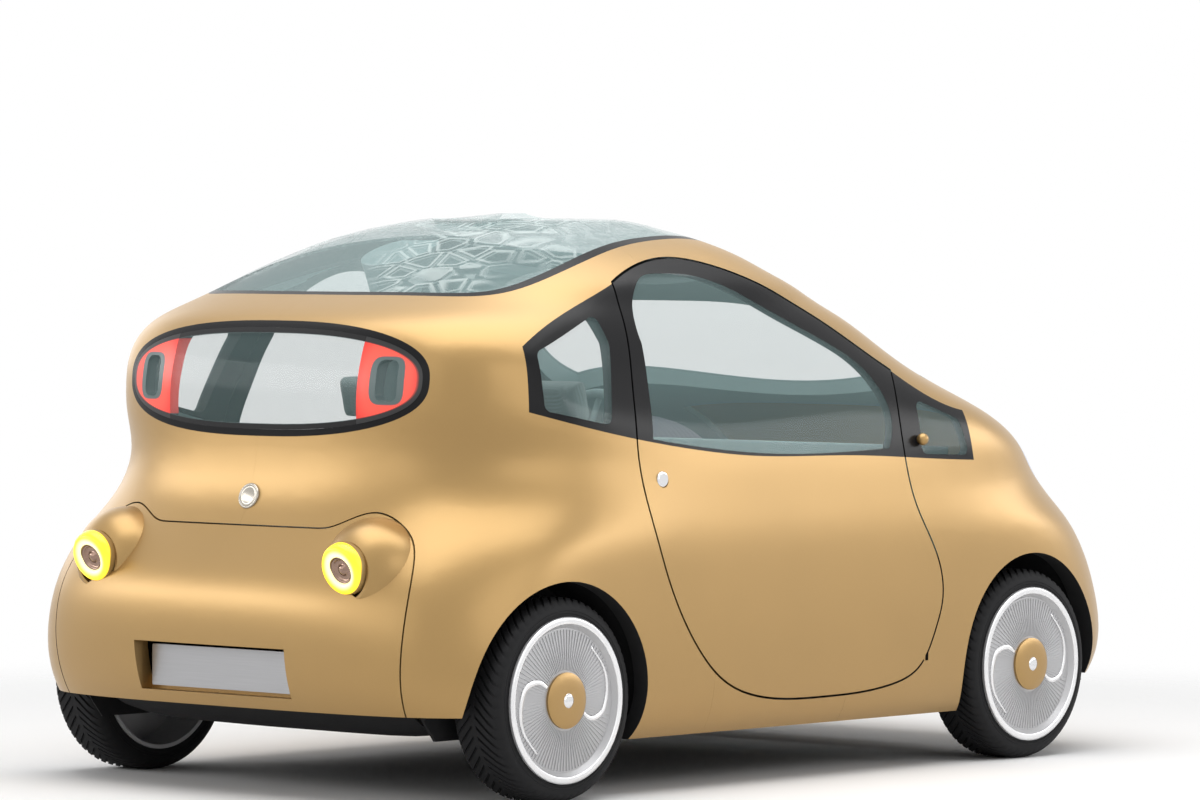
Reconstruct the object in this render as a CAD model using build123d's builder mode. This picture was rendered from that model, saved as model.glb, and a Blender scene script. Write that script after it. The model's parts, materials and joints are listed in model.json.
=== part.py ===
"""Small electric two-door city car with a glass dome roof, in millimetres.

+X points to the nose, +Y to the car's left and +Z up. The origin is on the ground, under the middle
of the car.
"""

import os
from math import dist, cos, pi, radians, sin

from build123d import *

# Overall sizes
LENGTH = 3040
WIDTH = 1720
HEIGHT = 1550
WHEELBASE = 1980
FRONT_AXLE_X = 950
TRACK = 1510

# Walls and gaps
WALL = 50
FRAME_WALL = 30
GLASS_WALL = 6
SHEET = 14
PANEL_GAP = 4
DOOR_GAP = 6
FIT_GAP = 0.3

# Body plan at each height: the height, how far the tail, the nose and each side are drawn in from the
# overall sizes, how square the tail's and the nose's corners are, and where the plan is widest
BODY_PLANS = [
    (150, 100, 100, 54, 14.0, 12.0, 0),
    (220, 57, 54, 19, 13.5, 12.0, 0),
    (320, 14, 2, 3, 13.0, 11.6, 0),
    (440, 0, 0, 0, 11.6, 10.4, 0),
    (570, 27, 30, 4, 9.9, 8.8, 0),
    (680, 98, 89, 11, 8.2, 7.2, 0),
    (780, 155, 157, 25, 5.7, 5.4, 0),
    (880, 181, 258, 40, 4.9, 6.1, 0),
    (980, 190, 422, 62, 6.2, 6.6, -20),
    (1080, 193, 645, 94, 8.1, 4.8, -50),
    (1180, 216, 840, 129, 9.6, 4.0, -90),
    (1260, 263, 996, 170, 7.5, 4.2, -130),
    (1310, 358, 1092, 200, 5.4, 3.8, -160),
    (1350, 462, 1170, 222, 4.9, 3.7, -180),
    (1390, 565, 1266, 260, 5.1, 3.9, -200),
    (1430, 672, 1352, 308, 5.1, 4.2, -225),
    (1470, 781, 1457, 374, 5.0, 4.5, -250),
    (1510, 924, 1577, 480, 4.7, 4.5, -280),
    (1535, 1037, 1696, 620, 4.0, 4.0, -305),
    (HEIGHT, 1165, 1825, 820, 3.0, 3.0, -330),
]
END_ROUNDNESS = 3.2
PLAN_POINTS = 28
SMALLEST_PLAN = 60
DROP_START = 900
DROP_END = 1250

# The shell is welded up of wings, sills, roof rails and quarters, which meet at these places and on the middle line
BODY_SEAMS_X = (-450, 120)

# Doors and side windows, on a plane through the widest point of the side; their edges run inwards along
# the way the door's rear edge first swings
DOOR_SWEEP = 0.22
DOOR_EDGE = [
    (-659, 1360), (-681, 1210), (-715, 945), (-672, 668), (-525, 391), (-421, 300), (-250, 242),
    (20, 228), (302, 246), (425, 292), (489, 391), (522, 484), (511, 570), (427, 725), (390, 868), (413, 1113),
]
WINDOW_LINE = [(413, 1113), (118, 1271), (-156, 1388), (-362, 1425), (-541, 1401), (-659, 1360)]
WINDOW_TAIL = [(-659, 1360), (-840, 1298), (-1000, 1240), (-1086, 1195)]
WINDOW_NOSE = [(698, 998), (539, 1046), (413, 1113)]
WINDOW_FOOT_REAR = (-1089, 1023)
WINDOW_FOOT_FRONT = (708, 858)
BELT_LINE = [(-860, 972), (-556, 922), (-234, 891), (153, 884), (544, 865)]
DOOR_GLASS_TOP = [(-632, 1200), (-598, 1330), (-543, 1374), (-452, 1386), (-331, 1381), (-24, 1267), (154, 1190),
                  (302, 1100), (346, 1030), (324, 899)]
DOOR_HINGE = (452, -850)
DOOR_PIN_RADIUS = 4
DOOR_PIN_FOOT_Z = 295
DOOR_PIN_TOP_Z = 385
DOOR_CORNER_ROOM = 13
DOOR_CORNER_Z = 304
DOOR_GLASS_FOOT = [(324, 899), (151, 893), (-148, 895), (-390, 912), (-656, 945)]
QUARTER_GLASS = [(-1046, 1180), (-782, 1278), (-762, 1200), (-812, 984), (-1040, 1026)]
NOSE_GLASS = [(478, 1034), (662, 974), (688, 872), (470, 880)]
GLASS_CORNER = 22

# Glass and lids seen from above
ROOF_OPENING = [(-1120, 0), (-1096, 340), (-1000, 520), (-860, 562), (-500, 520), (-200, 465), (60, 405),
                (150, 250), (175, 0)]
ROOF_SEAL = 22
SCREEN_TOP_X = 290
SCREEN_SIDE = [(SCREEN_TOP_X, 500), (480, 640), (690, 668)]
SCREEN_FOOT_X = 905
BONNET_REAR_X = 985
BONNET_FRONT_X = 1310
BONNET_HALF_WIDTH = 500
BONNET_CORNER = 120
HINGE_Y = 300
HINGE_Z = 1030
HINGE_RADIUS = 7
HINGE_LENGTH = 44
HINGE_PIN_RADIUS = 4

# Rear window with its lamps, seen from behind
REAR_WINDOW_Z = 1104
REAR_WINDOW_WIDTH = 1120
REAR_WINDOW_HEIGHT = 308
REAR_WINDOW_RIM = 18
REAR_WINDOW_ROUNDNESS = 2.5
TAIL_LAMP_INNER_Y = 350
TAIL_LAMP_HOLE_Y = 408
TAIL_LAMP_HOLE_WIDTH = 64
TAIL_LAMP_HOLE_HEIGHT = 110

# Lower rear panel with ring lamps and number plate
REAR_PANEL_EDGE = [(290, 713), (379, 738), (442, 757), (529, 732), (595, 681), (637, 594), (650, 491), (639, 307),
                   (628, 200)]
RING_LAMP_Y = 470
RING_LAMP_Z = 609
RING_LAMP_RADIUS = 72
RING_LAMP_CENTRE_RADIUS = 37
RING_LAMP_FACE_X = -1474
RING_LAMP_DEPTH = 26
POD_RADIUS = 135
POD_WALL = 8
PLATE_WIDTH = 520
PLATE_HEIGHT = 110
PLATE_DEPTH = 20
PLATE_Z = 335
PLATE_FACE_X = -1468
PLATE_ROOM = 22
TAIL_LIFT_Z = 236
NOSE_LIFT_Z = 226
LIFT_FROM_X = 1262

# Nose
FRONT_PANEL_Z = 640
FRONT_PANEL_HALF_WIDTH = 640
HEADLAMP_Y = 640
HEADLAMP_Z = 850
HEADLAMP_WIDTH = 170
HEADLAMP_HEIGHT = 200

# Wheels, hubs and steering
TYRE_RADIUS = 270
TYRE_WIDTH = 165
TYRE_SHOULDER = 34
RIM_RADIUS = 219
BARREL_RADIUS = 212
BARREL_WALL = 11
DISC_WALL = 20
HUB_RADIUS = 62
HUB_DEPTH = 100
CAP_RADIUS = 74
CAP_RISE = 13
STUB_RADIUS = 20
RUNNING_GAP = 0.05
ARCH_RADIUS_FRONT = 318
ARCH_RADIUS_REAR = 312
HOUSING_ROOM = 10
HOUSING_WALL = 6
HOUSING_FRONT_Y = 515
HOUSING_REAR_Y = 630
KINGPIN_Y = 705
KINGPIN_RADIUS = 10
UPRIGHT_RADIUS = 24
ARM_LOWER_Z = 160
ARM_UPPER_Z = 372
ARM_HEIGHT = 22
ARM_WIDTH = 56
ARM_GAP = 5
FRAME_HALF_WIDTH = 470
DOOR_RELIEF = (200, 150, 400)
RAIL_Z = 290
RAIL_HEIGHT = 60
AXLE_RADIUS = 32
TRAILING_ARM_Y = 560
TRAILING_ARM_WIDTH = 50

# Floor, cabin and masses
FLOOR_Z = 166
FLOOR_FRONT_X = 560
FLOOR_REAR_X = -620
LOAD_FLOOR_Z = 600
DASH_X = 700
DASH_Z = 860
CABIN_HALF_WIDTH = 640
BATTERY_SIZE = (760, 1000, 110)
BATTERY_X = -150
MOTOR_SIZE = (290, 400, 250)
SEAT_Y = 330
SEAT_WIDTH = 460
SEAT_X = -200
TRUNK_X = -800
TRUNK_RADIUS = 46
WHEEL_TILT = 25
STEERING_RADIUS = 175
STEERING_GRIP = 15
COLUMN_RADIUS = 30
STEERING_X = 330
STEERING_Z = 870
SHAFT_RADIUS = 12
JACK_PAD_X = 480
JACK_PAD_Y = 600
JACK_PAD_RADIUS = 45
BUTTON_X = -626
BUTTON_Z = 838
BUTTON_RADIUS = 22
BUTTON_FACE_Y = 824
BUTTON_LENGTH = 34
CAMERA_X = 472
CAMERA_Z = 922
CAMERA_RADIUS = 17

# Worked-out places
TAIL_X = -LENGTH / 2
NOSE_X = LENGTH / 2
SIDE_Y = WIDTH / 2
REAR_AXLE_X = FRONT_AXLE_X - WHEELBASE
FLOOR_TOP = FLOOR_Z + SHEET
RIM_FACE_Y = TRACK / 2 + TYRE_WIDTH / 2
FAR = 2000


def plan_radius(across, along, end_power, side_power):
    """Distance from the middle to a rounded plan's edge in one direction, for a plan one unit each way."""
    low, high = 0.0, 2.0
    for _ in range(40):
        middle = (low + high) / 2
        if abs(middle * across) ** side_power + abs(middle * along) ** end_power > 1:
            high = middle
        else:
            low = middle
    return low


def plan_points(plan, inset):
    """Points round the body at one height, drawn in by an inset, from the nose round by the left side."""
    _, tail_in, nose_in, side_in, tail_power, nose_power, middle_x = plan
    points = []
    for step in range(PLAN_POINTS):
        turn = 2 * pi * step / PLAN_POINTS
        turn += 0.12 * sin(4 * turn)
        ahead = cos(turn) >= 0
        reach = NOSE_X - nose_in - middle_x if ahead else middle_x - TAIL_X - tail_in
        power = nose_power if ahead else tail_power
        radius = plan_radius(sin(turn), cos(turn), power, END_ROUNDNESS)
        half_width = SIDE_Y - side_in - inset
        points.append((middle_x + (reach - inset) * radius * cos(turn), half_width * radius * sin(turn)))
    return points


def plan_parameters(plan):
    """Where each point lies along a plan's outline, from 0 to 1, shared by all plans to keep the loft light."""
    points = plan_points(plan, 0)
    lengths = [0]
    for start, end in zip(points, points[1:] + points[:1]):
        lengths.append(lengths[-1] + dist(start, end))
    return [length / lengths[-1] for length in lengths]


PLAN_PARAMETERS = plan_parameters(min(BODY_PLANS, key=lambda plan: plan[3]))


def body_form(inset):
    """The body's outer form, or the form one wall further in, which also drops under the roof."""
    plans = [plan for plan in BODY_PLANS if SIDE_Y - plan[3] - inset > SMALLEST_PLAN or inset < GLASS_WALL + 1]
    levels = []
    for plan in plans:
        drop = min(max((plan[0] - DROP_START) / (DROP_END - DROP_START), 0), 1) * inset
        levels.append((plan[0] - drop, plan))
    if inset:
        levels.insert(0, (BODY_PLANS[0][0] - WALL, BODY_PLANS[0]))
    with BuildPart() as form:
        for level, plan in levels:
            with BuildSketch(Plane.XY.offset(level)):
                with BuildLine():
                    add(Edge.make_spline(plan_points(plan, inset), periodic=True, parameters=PLAN_PARAMETERS))
                make_face()
        loft()
    return form.part


def rounded_oval(width, height, roundness, count=32):
    """Points round an oval whose ends are fuller than an ellipse's."""
    points = []
    for step in range(count):
        turn = 2 * pi * step / count
        radius = plan_radius(sin(turn), cos(turn), roundness, roundness)
        points.append((width / 2 * radius * cos(turn), height / 2 * radius * sin(turn)))
    return points


# Side outlines are drawn on the plane through the right side's widest point, and start a little outside it
SIDE_MARGIN = 40
SIDE_DEPTH = 460
inwards = Vector(DOOR_SWEEP, 1, 0)
side_plane = Plane(
    origin=(-DOOR_SWEEP * SIDE_MARGIN, -SIDE_Y - SIDE_MARGIN, 0), x_dir=(1, 0, 0), z_dir=(0, -1, 0)
)

outer_form = body_form(0)
glass_form = body_form(GLASS_WALL)
frame_form = body_form(FRAME_WALL)
inner_form = body_form(WALL)


def grown(outline, amount):
    """An outline's face, grown or shrunk all round, with its edges as plain curves."""
    if not amount:
        return outline.sketch.face()
    with BuildSketch(outline.workplanes[0]) as bigger:
        add(outline.sketch_local)
        offset(amount=amount)
    return bigger.sketch.face().to_splines()


def side_prism(edges, grow=0.0):
    """A block through the right-hand side, inside an outline of joined curves and lines."""
    with BuildPart() as prism:
        with BuildSketch(side_plane, mode=Mode.PRIVATE) as outline:
            with BuildLine():
                for edge in edges:
                    if len(edge) > 2:
                        Spline(*edge)
                    else:
                        Line(*edge)
            make_face()
        extrude(grown(outline, grow), amount=SIDE_DEPTH, dir=inwards)
    return prism.part


def corner_prism(corners, grow=0.0):
    """A block through the right-hand side, inside a rounded outline of straight edges."""
    with BuildPart() as prism:
        with BuildSketch(side_plane, mode=Mode.PRIVATE) as outline:
            with BuildLine():
                Polyline(*corners, close=True)
            make_face()
            fillet(vertices(), GLASS_CORNER)
        extrude(grown(outline, grow), amount=SIDE_DEPTH, dir=inwards)
    return prism.part


def plan_prism(half_outline, grow=0.0):
    """A tall block over the car, inside an outline given for its left half and mirrored."""
    with BuildPart() as prism:
        with BuildSketch(mode=Mode.PRIVATE) as outline:
            with BuildLine():
                Spline(*half_outline)
                mirror(about=Plane.XZ)
            make_face()
        extrude(grown(outline, grow), amount=FAR, dir=(0, 0, 1))
    return prism.part


def tail_prism(trim=0.0):
    """A block through the tail, inside the rear window's oval drawn in by a trim."""
    width = REAR_WINDOW_WIDTH - 2 * trim
    height = REAR_WINDOW_HEIGHT - 2 * trim
    points = [(y, REAR_WINDOW_Z + z) for y, z in rounded_oval(width, height, REAR_WINDOW_ROUNDNESS)]
    with BuildPart() as prism:
        with BuildSketch(Plane.YZ.offset(TAIL_X - WALL)):
            with BuildLine():
                Spline(*points, periodic=True)
            make_face()
        extrude(amount=LENGTH / 4)
    return prism.part


def both_sides(right):
    """A right-hand piece and its left-hand mirror image."""
    with BuildPart() as pair:
        add(right)
        mirror(about=Plane.XZ)
    return pair.part


def mirrored(right):
    """The left-hand mirror image of a right-hand piece."""
    with BuildPart() as left:
        mirror(right, about=Plane.XZ)
    return left.part


def cylinder_along_y(radius, x, z, y_from, y_to):
    """A round bar across the car."""
    with BuildPart() as bar:
        with BuildSketch(Plane.XZ.offset(-y_from)):
            with Locations((x, z)):
                Circle(radius)
        extrude(amount=y_from - y_to)
    return bar.part


os.makedirs("parts", exist_ok=True)


def save(name, part):
    """Label one piece and write it to its own file."""
    part.label = name
    export_step(part, f"parts/{name}.step")


# Openings in the side
door_edges = [DOOR_EDGE, WINDOW_LINE]
door_block = side_prism(door_edges)
door_opening = side_prism(door_edges, DOOR_GAP)
window_edges = [
    WINDOW_NOSE + WINDOW_LINE[1:] + WINDOW_TAIL[1:],
    [WINDOW_TAIL[-1], WINDOW_FOOT_REAR],
    [WINDOW_FOOT_REAR] + BELT_LINE + [WINDOW_FOOT_FRONT],
    [WINDOW_FOOT_FRONT, WINDOW_NOSE[0]],
]
window_block = side_prism(window_edges)
door_glass_hole = side_prism([DOOR_GLASS_TOP, DOOR_GLASS_FOOT, [DOOR_GLASS_FOOT[-1], DOOR_GLASS_TOP[0]]])
door_glass_block = side_prism([DOOR_GLASS_TOP, DOOR_GLASS_FOOT, [DOOR_GLASS_FOOT[-1], DOOR_GLASS_TOP[0]]], -FIT_GAP)

# Openings in the tail, the roof and the nose
rear_window_hole = tail_prism()
rear_glass_hole = tail_prism(REAR_WINDOW_RIM)
rear_glass_block = tail_prism(REAR_WINDOW_RIM + FIT_GAP)
roof_opening = plan_prism(ROOF_OPENING)
roof_glass_hole = plan_prism(ROOF_OPENING, -ROOF_SEAL)
roof_glass_block = plan_prism(ROOF_OPENING, -ROOF_SEAL - FIT_GAP)


def screen_prism(grow=0.0):
    """A tall block inside the windscreen's outline seen from above."""
    with BuildPart() as prism:
        with BuildSketch(mode=Mode.PRIVATE) as outline:
            with BuildLine():
                Line((SCREEN_TOP_X, 0), SCREEN_SIDE[0])
                Spline(*SCREEN_SIDE)
                Spline(SCREEN_SIDE[-1], (SCREEN_FOOT_X, 0), tangents=[(0.4, -1), (0, -1)])
                mirror(about=Plane.XZ)
            make_face()
        extrude(grown(outline, grow), amount=FAR, dir=(0, 0, 1))
    return prism.part


def bonnet_prism(grow=0.0):
    """A tall block inside the bonnet's outline seen from above."""
    with BuildPart() as prism:
        with BuildSketch(mode=Mode.PRIVATE) as outline:
            with Locations(((BONNET_REAR_X + BONNET_FRONT_X) / 2, 0)):
                Rectangle(BONNET_FRONT_X - BONNET_REAR_X, 2 * BONNET_HALF_WIDTH)
            fillet(vertices().group_by(Axis.X)[-1], BONNET_CORNER)
        extrude(grown(outline, grow), amount=FAR, dir=(0, 0, 1))
    return prism.part


def rear_panel_prism(grow=0.0):
    """A block through the tail, inside the lower rear panel's outline."""
    with BuildPart() as prism:
        with BuildSketch(Plane.YZ.offset(TAIL_X - WALL), mode=Mode.PRIVATE) as outline:
            with BuildLine():
                Line((0, REAR_PANEL_EDGE[0][1]), REAR_PANEL_EDGE[0])
                Spline(*REAR_PANEL_EDGE, tangents=[(1, 0), (-0.1, -1)])
                Line(REAR_PANEL_EDGE[-1], (0, REAR_PANEL_EDGE[-1][1]))
                mirror(about=Plane.YZ)
            make_face()
        extrude(grown(outline, grow), amount=LENGTH / 5, dir=(1, 0, 0))
    return prism.part


def front_panel_prism(grow=0.0):
    """A block through the nose, inside the lower front panel's outline."""
    with BuildPart() as prism:
        with BuildSketch(Plane.YZ.offset(NOSE_X - LENGTH / 8)):
            with Locations((0, FRONT_PANEL_Z / 2)):
                RectangleRounded(
                    2 * FRONT_PANEL_HALF_WIDTH + 2 * grow, FRONT_PANEL_Z + 2 * grow, FRONT_PANEL_Z / 4 + grow
                )
        extrude(amount=LENGTH / 5)
    return prism.part


def headlamp_prism(shrink=0.0):
    """A block through the right-hand front corner, inside the headlamp's outline seen from ahead."""
    with BuildPart() as prism:
        with BuildSketch(Plane.YZ.offset(NOSE_X)):
            with Locations((-HEADLAMP_Y, HEADLAMP_Z)):
                Ellipse(HEADLAMP_WIDTH / 2 - shrink, HEADLAMP_HEIGHT / 2 - shrink)
        extrude(amount=-LENGTH / 4)
    return prism.part


headlamp_holes = both_sides(headlamp_prism())

# Wheel arches and the raised ends of the underside
with BuildPart() as arches:
    for axle_x, radius, inner_y in (
        (FRONT_AXLE_X, ARCH_RADIUS_FRONT, HOUSING_FRONT_Y),
        (REAR_AXLE_X, ARCH_RADIUS_REAR, HOUSING_REAR_Y),
    ):
        add(cylinder_along_y(radius, axle_x, TYRE_RADIUS, inner_y, WIDTH))
        add(cylinder_along_y(radius, axle_x, TYRE_RADIUS, -WIDTH, -inner_y))

with BuildPart() as lifts:
    with Locations(((LIFT_FROM_X + FAR) / 2, 0, NOSE_LIFT_Z / 2)):
        Box(FAR - LIFT_FROM_X, 2 * WIDTH, NOSE_LIFT_Z)
    with Locations((-(LIFT_FROM_X + FAR) / 2, 0, TAIL_LIFT_Z / 2)):
        Box(FAR - LIFT_FROM_X, 2 * WIDTH, TAIL_LIFT_Z)

# Bonnet hinges: a barrel on the bonnet between two lugs with a pin on the body, in the shut gap
HINGE_X = BONNET_REAR_X - DOOR_GAP / 2
hinge_barrels = []
hinge_lugs = []
hinge_rooms = []
for hinge_y in (-HINGE_Y, HINGE_Y):
    low_y = hinge_y - HINGE_LENGTH / 2
    high_y = hinge_y + HINGE_LENGTH / 2
    hinge_barrels.append(cylinder_along_y(HINGE_RADIUS, HINGE_X, HINGE_Z, low_y, high_y))
    hinge_rooms.append(cylinder_along_y(HINGE_PIN_RADIUS + RUNNING_GAP, HINGE_X, HINGE_Z, low_y, high_y))
    hinge_lugs.append(cylinder_along_y(HINGE_RADIUS, HINGE_X, HINGE_Z, low_y - HINGE_RADIUS, low_y - FIT_GAP))
    hinge_lugs.append(cylinder_along_y(HINGE_RADIUS, HINGE_X, HINGE_Z, high_y + FIT_GAP, high_y + HINGE_RADIUS))
    hinge_lugs.append(cylinder_along_y(HINGE_PIN_RADIUS, HINGE_X, HINGE_Z, low_y, high_y))
with BuildPart() as barrel_space:
    for hinge_y in (-HINGE_Y, HINGE_Y):
        with Locations((HINGE_X, hinge_y, HINGE_Z)):
            with Locations(Rotation(90, 0, 0)):
                Cylinder(HINGE_RADIUS + DOOR_GAP, HINGE_LENGTH + 2 * FIT_GAP)

# Door hinge pins, which stand in the sill and end in a bore in the door; the sill has room round them
# for the door's corner as it swings
door_posts = []
for radius, foot_z in (
    (DOOR_PIN_RADIUS, DOOR_PIN_FOOT_Z),
    (DOOR_PIN_RADIUS + RUNNING_GAP, DOOR_PIN_FOOT_Z),
    (DOOR_CORNER_ROOM, DOOR_CORNER_Z),
):
    with BuildPart() as post:
        with BuildSketch(Plane.XY.offset(foot_z)):
            with Locations(DOOR_HINGE):
                Circle(radius)
        extrude(amount=DOOR_PIN_TOP_Z - foot_z)
    door_posts.append(post.part)
door_pin, door_pin_bore, door_corner = door_posts

# Body shell
shell_openings = [
    inner_form,
    both_sides(window_block),
    both_sides(door_opening),
    rear_window_hole,
    roof_opening,
    screen_prism(),
    bonnet_prism(DOOR_GAP),
    headlamp_holes,
    rear_panel_prism(PANEL_GAP),
    front_panel_prism(PANEL_GAP),
    arches.part,
    lifts.part,
]
with BuildPart() as body_shell:
    add(outer_form)
    add(shell_openings + [barrel_space.part, door_corner, mirrored(door_corner)], mode=Mode.SUBTRACT)
    add(hinge_lugs + [door_pin, mirrored(door_pin)])
    for seam_x in BODY_SEAMS_X:
        with Locations((seam_x, 0, 0)):
            Box(FIT_GAP, 2 * FAR, 2 * FAR, mode=Mode.SUBTRACT)
    Box(2 * FAR, FIT_GAP, 2 * FAR, mode=Mode.SUBTRACT)
save("body_shell", body_shell.part)

# Side windows: black frames and panes fixed in the body
def pane(block):
    """The sheet of glass that fills one opening."""
    with BuildPart() as sheet:
        add(outer_form)
        add(block, mode=Mode.INTERSECT)
        add(glass_form, mode=Mode.SUBTRACT)
    return sheet.part


def rim(block):
    """The frame-thick part of the body's wall inside one block."""
    with BuildPart() as frame:
        add(outer_form)
        add(block, mode=Mode.INTERSECT)
        add(frame_form, mode=Mode.SUBTRACT)
    return frame.part


def panel(block):
    """The full-thickness part of the body's wall inside one block."""
    with BuildPart() as skin:
        add(outer_form)
        add(block, mode=Mode.INTERSECT)
        add(inner_form, mode=Mode.SUBTRACT)
    return skin.part


with BuildPart() as quarter_frame:
    add(rim(window_block))
    add(door_opening, mode=Mode.SUBTRACT)
    add(corner_prism(QUARTER_GLASS), mode=Mode.SUBTRACT)
    add(corner_prism(NOSE_GLASS), mode=Mode.SUBTRACT)
save("quarter_frames", both_sides(quarter_frame.part))

with BuildPart() as quarter_panes:
    add(pane(corner_prism(QUARTER_GLASS, -FIT_GAP)))
    add(pane(corner_prism(NOSE_GLASS, -FIT_GAP)))
save("quarter_glass", both_sides(quarter_panes.part))

# Doors, each a painted panel under the belt and a black window frame over it
belt_block = side_prism(
    [
        [WINDOW_FOOT_REAR] + BELT_LINE + [WINDOW_FOOT_FRONT],
        [WINDOW_FOOT_FRONT, (WINDOW_FOOT_FRONT[0], HEIGHT)],
        [(WINDOW_FOOT_FRONT[0], HEIGHT), (WINDOW_FOOT_REAR[0], HEIGHT)],
        [(WINDOW_FOOT_REAR[0], HEIGHT), WINDOW_FOOT_REAR],
    ]
)

with BuildPart() as button_bore:
    with BuildSketch(Plane.XZ.offset(BUTTON_FACE_Y - BUTTON_LENGTH)):
        with Locations((BUTTON_X, BUTTON_Z)):
            Circle(BUTTON_RADIUS)
    extrude(amount=SIDE_MARGIN + BUTTON_LENGTH)

with BuildPart() as door_panel:
    add(panel(door_block))
    add(belt_block, mode=Mode.SUBTRACT)
    add([button_bore.part, door_pin_bore], mode=Mode.SUBTRACT)

with BuildPart() as door_frame:
    add(rim(door_block))
    add(belt_block, mode=Mode.INTERSECT)
    add(door_glass_hole, mode=Mode.SUBTRACT)

door_pane = pane(door_glass_block)

with BuildPart() as door_button:
    with BuildSketch(Plane.XZ.offset(BUTTON_FACE_Y - BUTTON_LENGTH)):
        with Locations((BUTTON_X, BUTTON_Z)):
            Circle(BUTTON_RADIUS - FIT_GAP)
    extrude(amount=BUTTON_LENGTH)
    fillet(edges().group_by(Axis.Y)[0], BUTTON_RADIUS / 4)

for name, piece in (
    ("door_panel", door_panel.part),
    ("door_frame", door_frame.part),
    ("door_glass", door_pane),
    ("door_button", door_button.part),
):
    save(name + "_right", piece)
    save(name + "_left", mirrored(piece))

# Roof dome and windscreen
with BuildPart() as roof_seal:
    add(rim(roof_opening))
    add(roof_glass_hole, mode=Mode.SUBTRACT)
save("roof_seal", roof_seal.part)
save("roof_glass", pane(roof_glass_block))
save("windscreen", pane(screen_prism(-FIT_GAP)))

# Rear window: rim, lamps and glass
with BuildPart() as rear_window_rim:
    add(rim(rear_window_hole))
    add(rear_glass_hole, mode=Mode.SUBTRACT)
save("rear_window_rim", rear_window_rim.part)


def tail_lamp_block(grow=0.0):
    """Blocks through both tail lamps: the rear window's ends, each with a rounded hole."""
    with BuildPart() as blocks:
        with BuildSketch(Plane.YZ.offset(TAIL_X)):
            with GridLocations(REAR_WINDOW_WIDTH + 2 * TAIL_LAMP_INNER_Y, 0, 2, 1):
                with Locations((0, REAR_WINDOW_Z)):
                    Rectangle(REAR_WINDOW_WIDTH + 2 * grow, REAR_WINDOW_HEIGHT)
            with GridLocations(2 * TAIL_LAMP_HOLE_Y + TAIL_LAMP_HOLE_WIDTH, 0, 2, 1):
                with Locations((0, REAR_WINDOW_Z)):
                    RectangleRounded(
                        TAIL_LAMP_HOLE_WIDTH - 2 * grow,
                        TAIL_LAMP_HOLE_HEIGHT - 2 * grow,
                        TAIL_LAMP_HOLE_WIDTH / 3,
                        mode=Mode.SUBTRACT,
                    )
        extrude(amount=LENGTH / 4)
    return blocks.part


with BuildPart() as tail_lamps:
    add(rim(rear_glass_block))
    add(tail_lamp_block(), mode=Mode.INTERSECT)
save("tail_lamps", tail_lamps.part)

with BuildPart() as rear_window:
    add(pane(rear_glass_block))
    add(tail_lamp_block(FIT_GAP), mode=Mode.SUBTRACT)
save("rear_window", rear_window.part)

# Lower rear panel with its round lamp pods and the plate's recess
POD_BALL = 140
POD_FACE_RADIUS = RING_LAMP_RADIUS + POD_WALL
POD_CENTRE_X = RING_LAMP_FACE_X + (POD_BALL**2 - POD_FACE_RADIUS**2) ** 0.5
PLATE_BACK_X = PLATE_FACE_X + PLATE_DEPTH
lamp_places = [(RING_LAMP_FACE_X, y, RING_LAMP_Z) for y in (-RING_LAMP_Y, RING_LAMP_Y)]
with BuildPart() as rear_panel:
    add(panel(rear_panel_prism()))
    with BuildPart(mode=Mode.PRIVATE) as pods:
        with Locations(*[(POD_CENTRE_X, y, z) for _, y, z in lamp_places]):
            Sphere(POD_BALL)
        with Locations(*lamp_places):
            Box(POD_BALL, 2 * POD_BALL, 2 * POD_BALL, align=(Align.MAX, Align.CENTER, Align.CENTER), mode=Mode.SUBTRACT)
        with Locations((PLATE_BACK_X, 0, PLATE_Z)):
            Box(
                SHEET,
                PLATE_WIDTH + 2 * PLATE_ROOM + 2 * SHEET,
                PLATE_HEIGHT + 2 * PLATE_ROOM,
                align=(Align.MIN, Align.CENTER, Align.CENTER),
            )
        add(inner_form, mode=Mode.SUBTRACT)
    add(pods.part)
    with Locations(*lamp_places):
        with Locations(Rotation(0, 90, 0)):
            Cylinder(
                RING_LAMP_RADIUS + FIT_GAP,
                RING_LAMP_DEPTH,
                align=(Align.CENTER, Align.CENTER, Align.MIN),
                mode=Mode.SUBTRACT,
            )
    with Locations((PLATE_BACK_X, 0, PLATE_Z)):
        Box(
            LENGTH / 10,
            PLATE_WIDTH + 2 * PLATE_ROOM,
            PLATE_HEIGHT + PLATE_ROOM,
            align=(Align.MAX, Align.CENTER, Align.CENTER),
            mode=Mode.SUBTRACT,
        )
    add(lifts.part, mode=Mode.SUBTRACT)
save("rear_panel", rear_panel.part)

with BuildPart() as ring_lamps:
    with Locations(*lamp_places):
        with Locations(Rotation(0, 90, 0)):
            Cylinder(RING_LAMP_RADIUS, RING_LAMP_DEPTH, align=(Align.CENTER, Align.CENTER, Align.MIN))
            Cylinder(
                RING_LAMP_CENTRE_RADIUS + FIT_GAP,
                RING_LAMP_DEPTH,
                align=(Align.CENTER, Align.CENTER, Align.MIN),
                mode=Mode.SUBTRACT,
            )
    fillet(edges().filter_by(GeomType.CIRCLE).group_by(Axis.X)[0], RING_LAMP_DEPTH / 3)
save("ring_lamps", ring_lamps.part)

with BuildPart() as lamp_centres:
    with Locations(*lamp_places):
        with Locations(Rotation(0, 90, 0)):
            Cylinder(RING_LAMP_CENTRE_RADIUS, RING_LAMP_DEPTH, align=(Align.CENTER, Align.CENTER, Align.MIN))
            Cone(
                RING_LAMP_CENTRE_RADIUS * 0.8,
                RING_LAMP_CENTRE_RADIUS * 0.3,
                RING_LAMP_DEPTH / 2,
                align=(Align.CENTER, Align.CENTER, Align.MIN),
                mode=Mode.SUBTRACT,
            )
save("ring_lamp_centres", lamp_centres.part)

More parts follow.
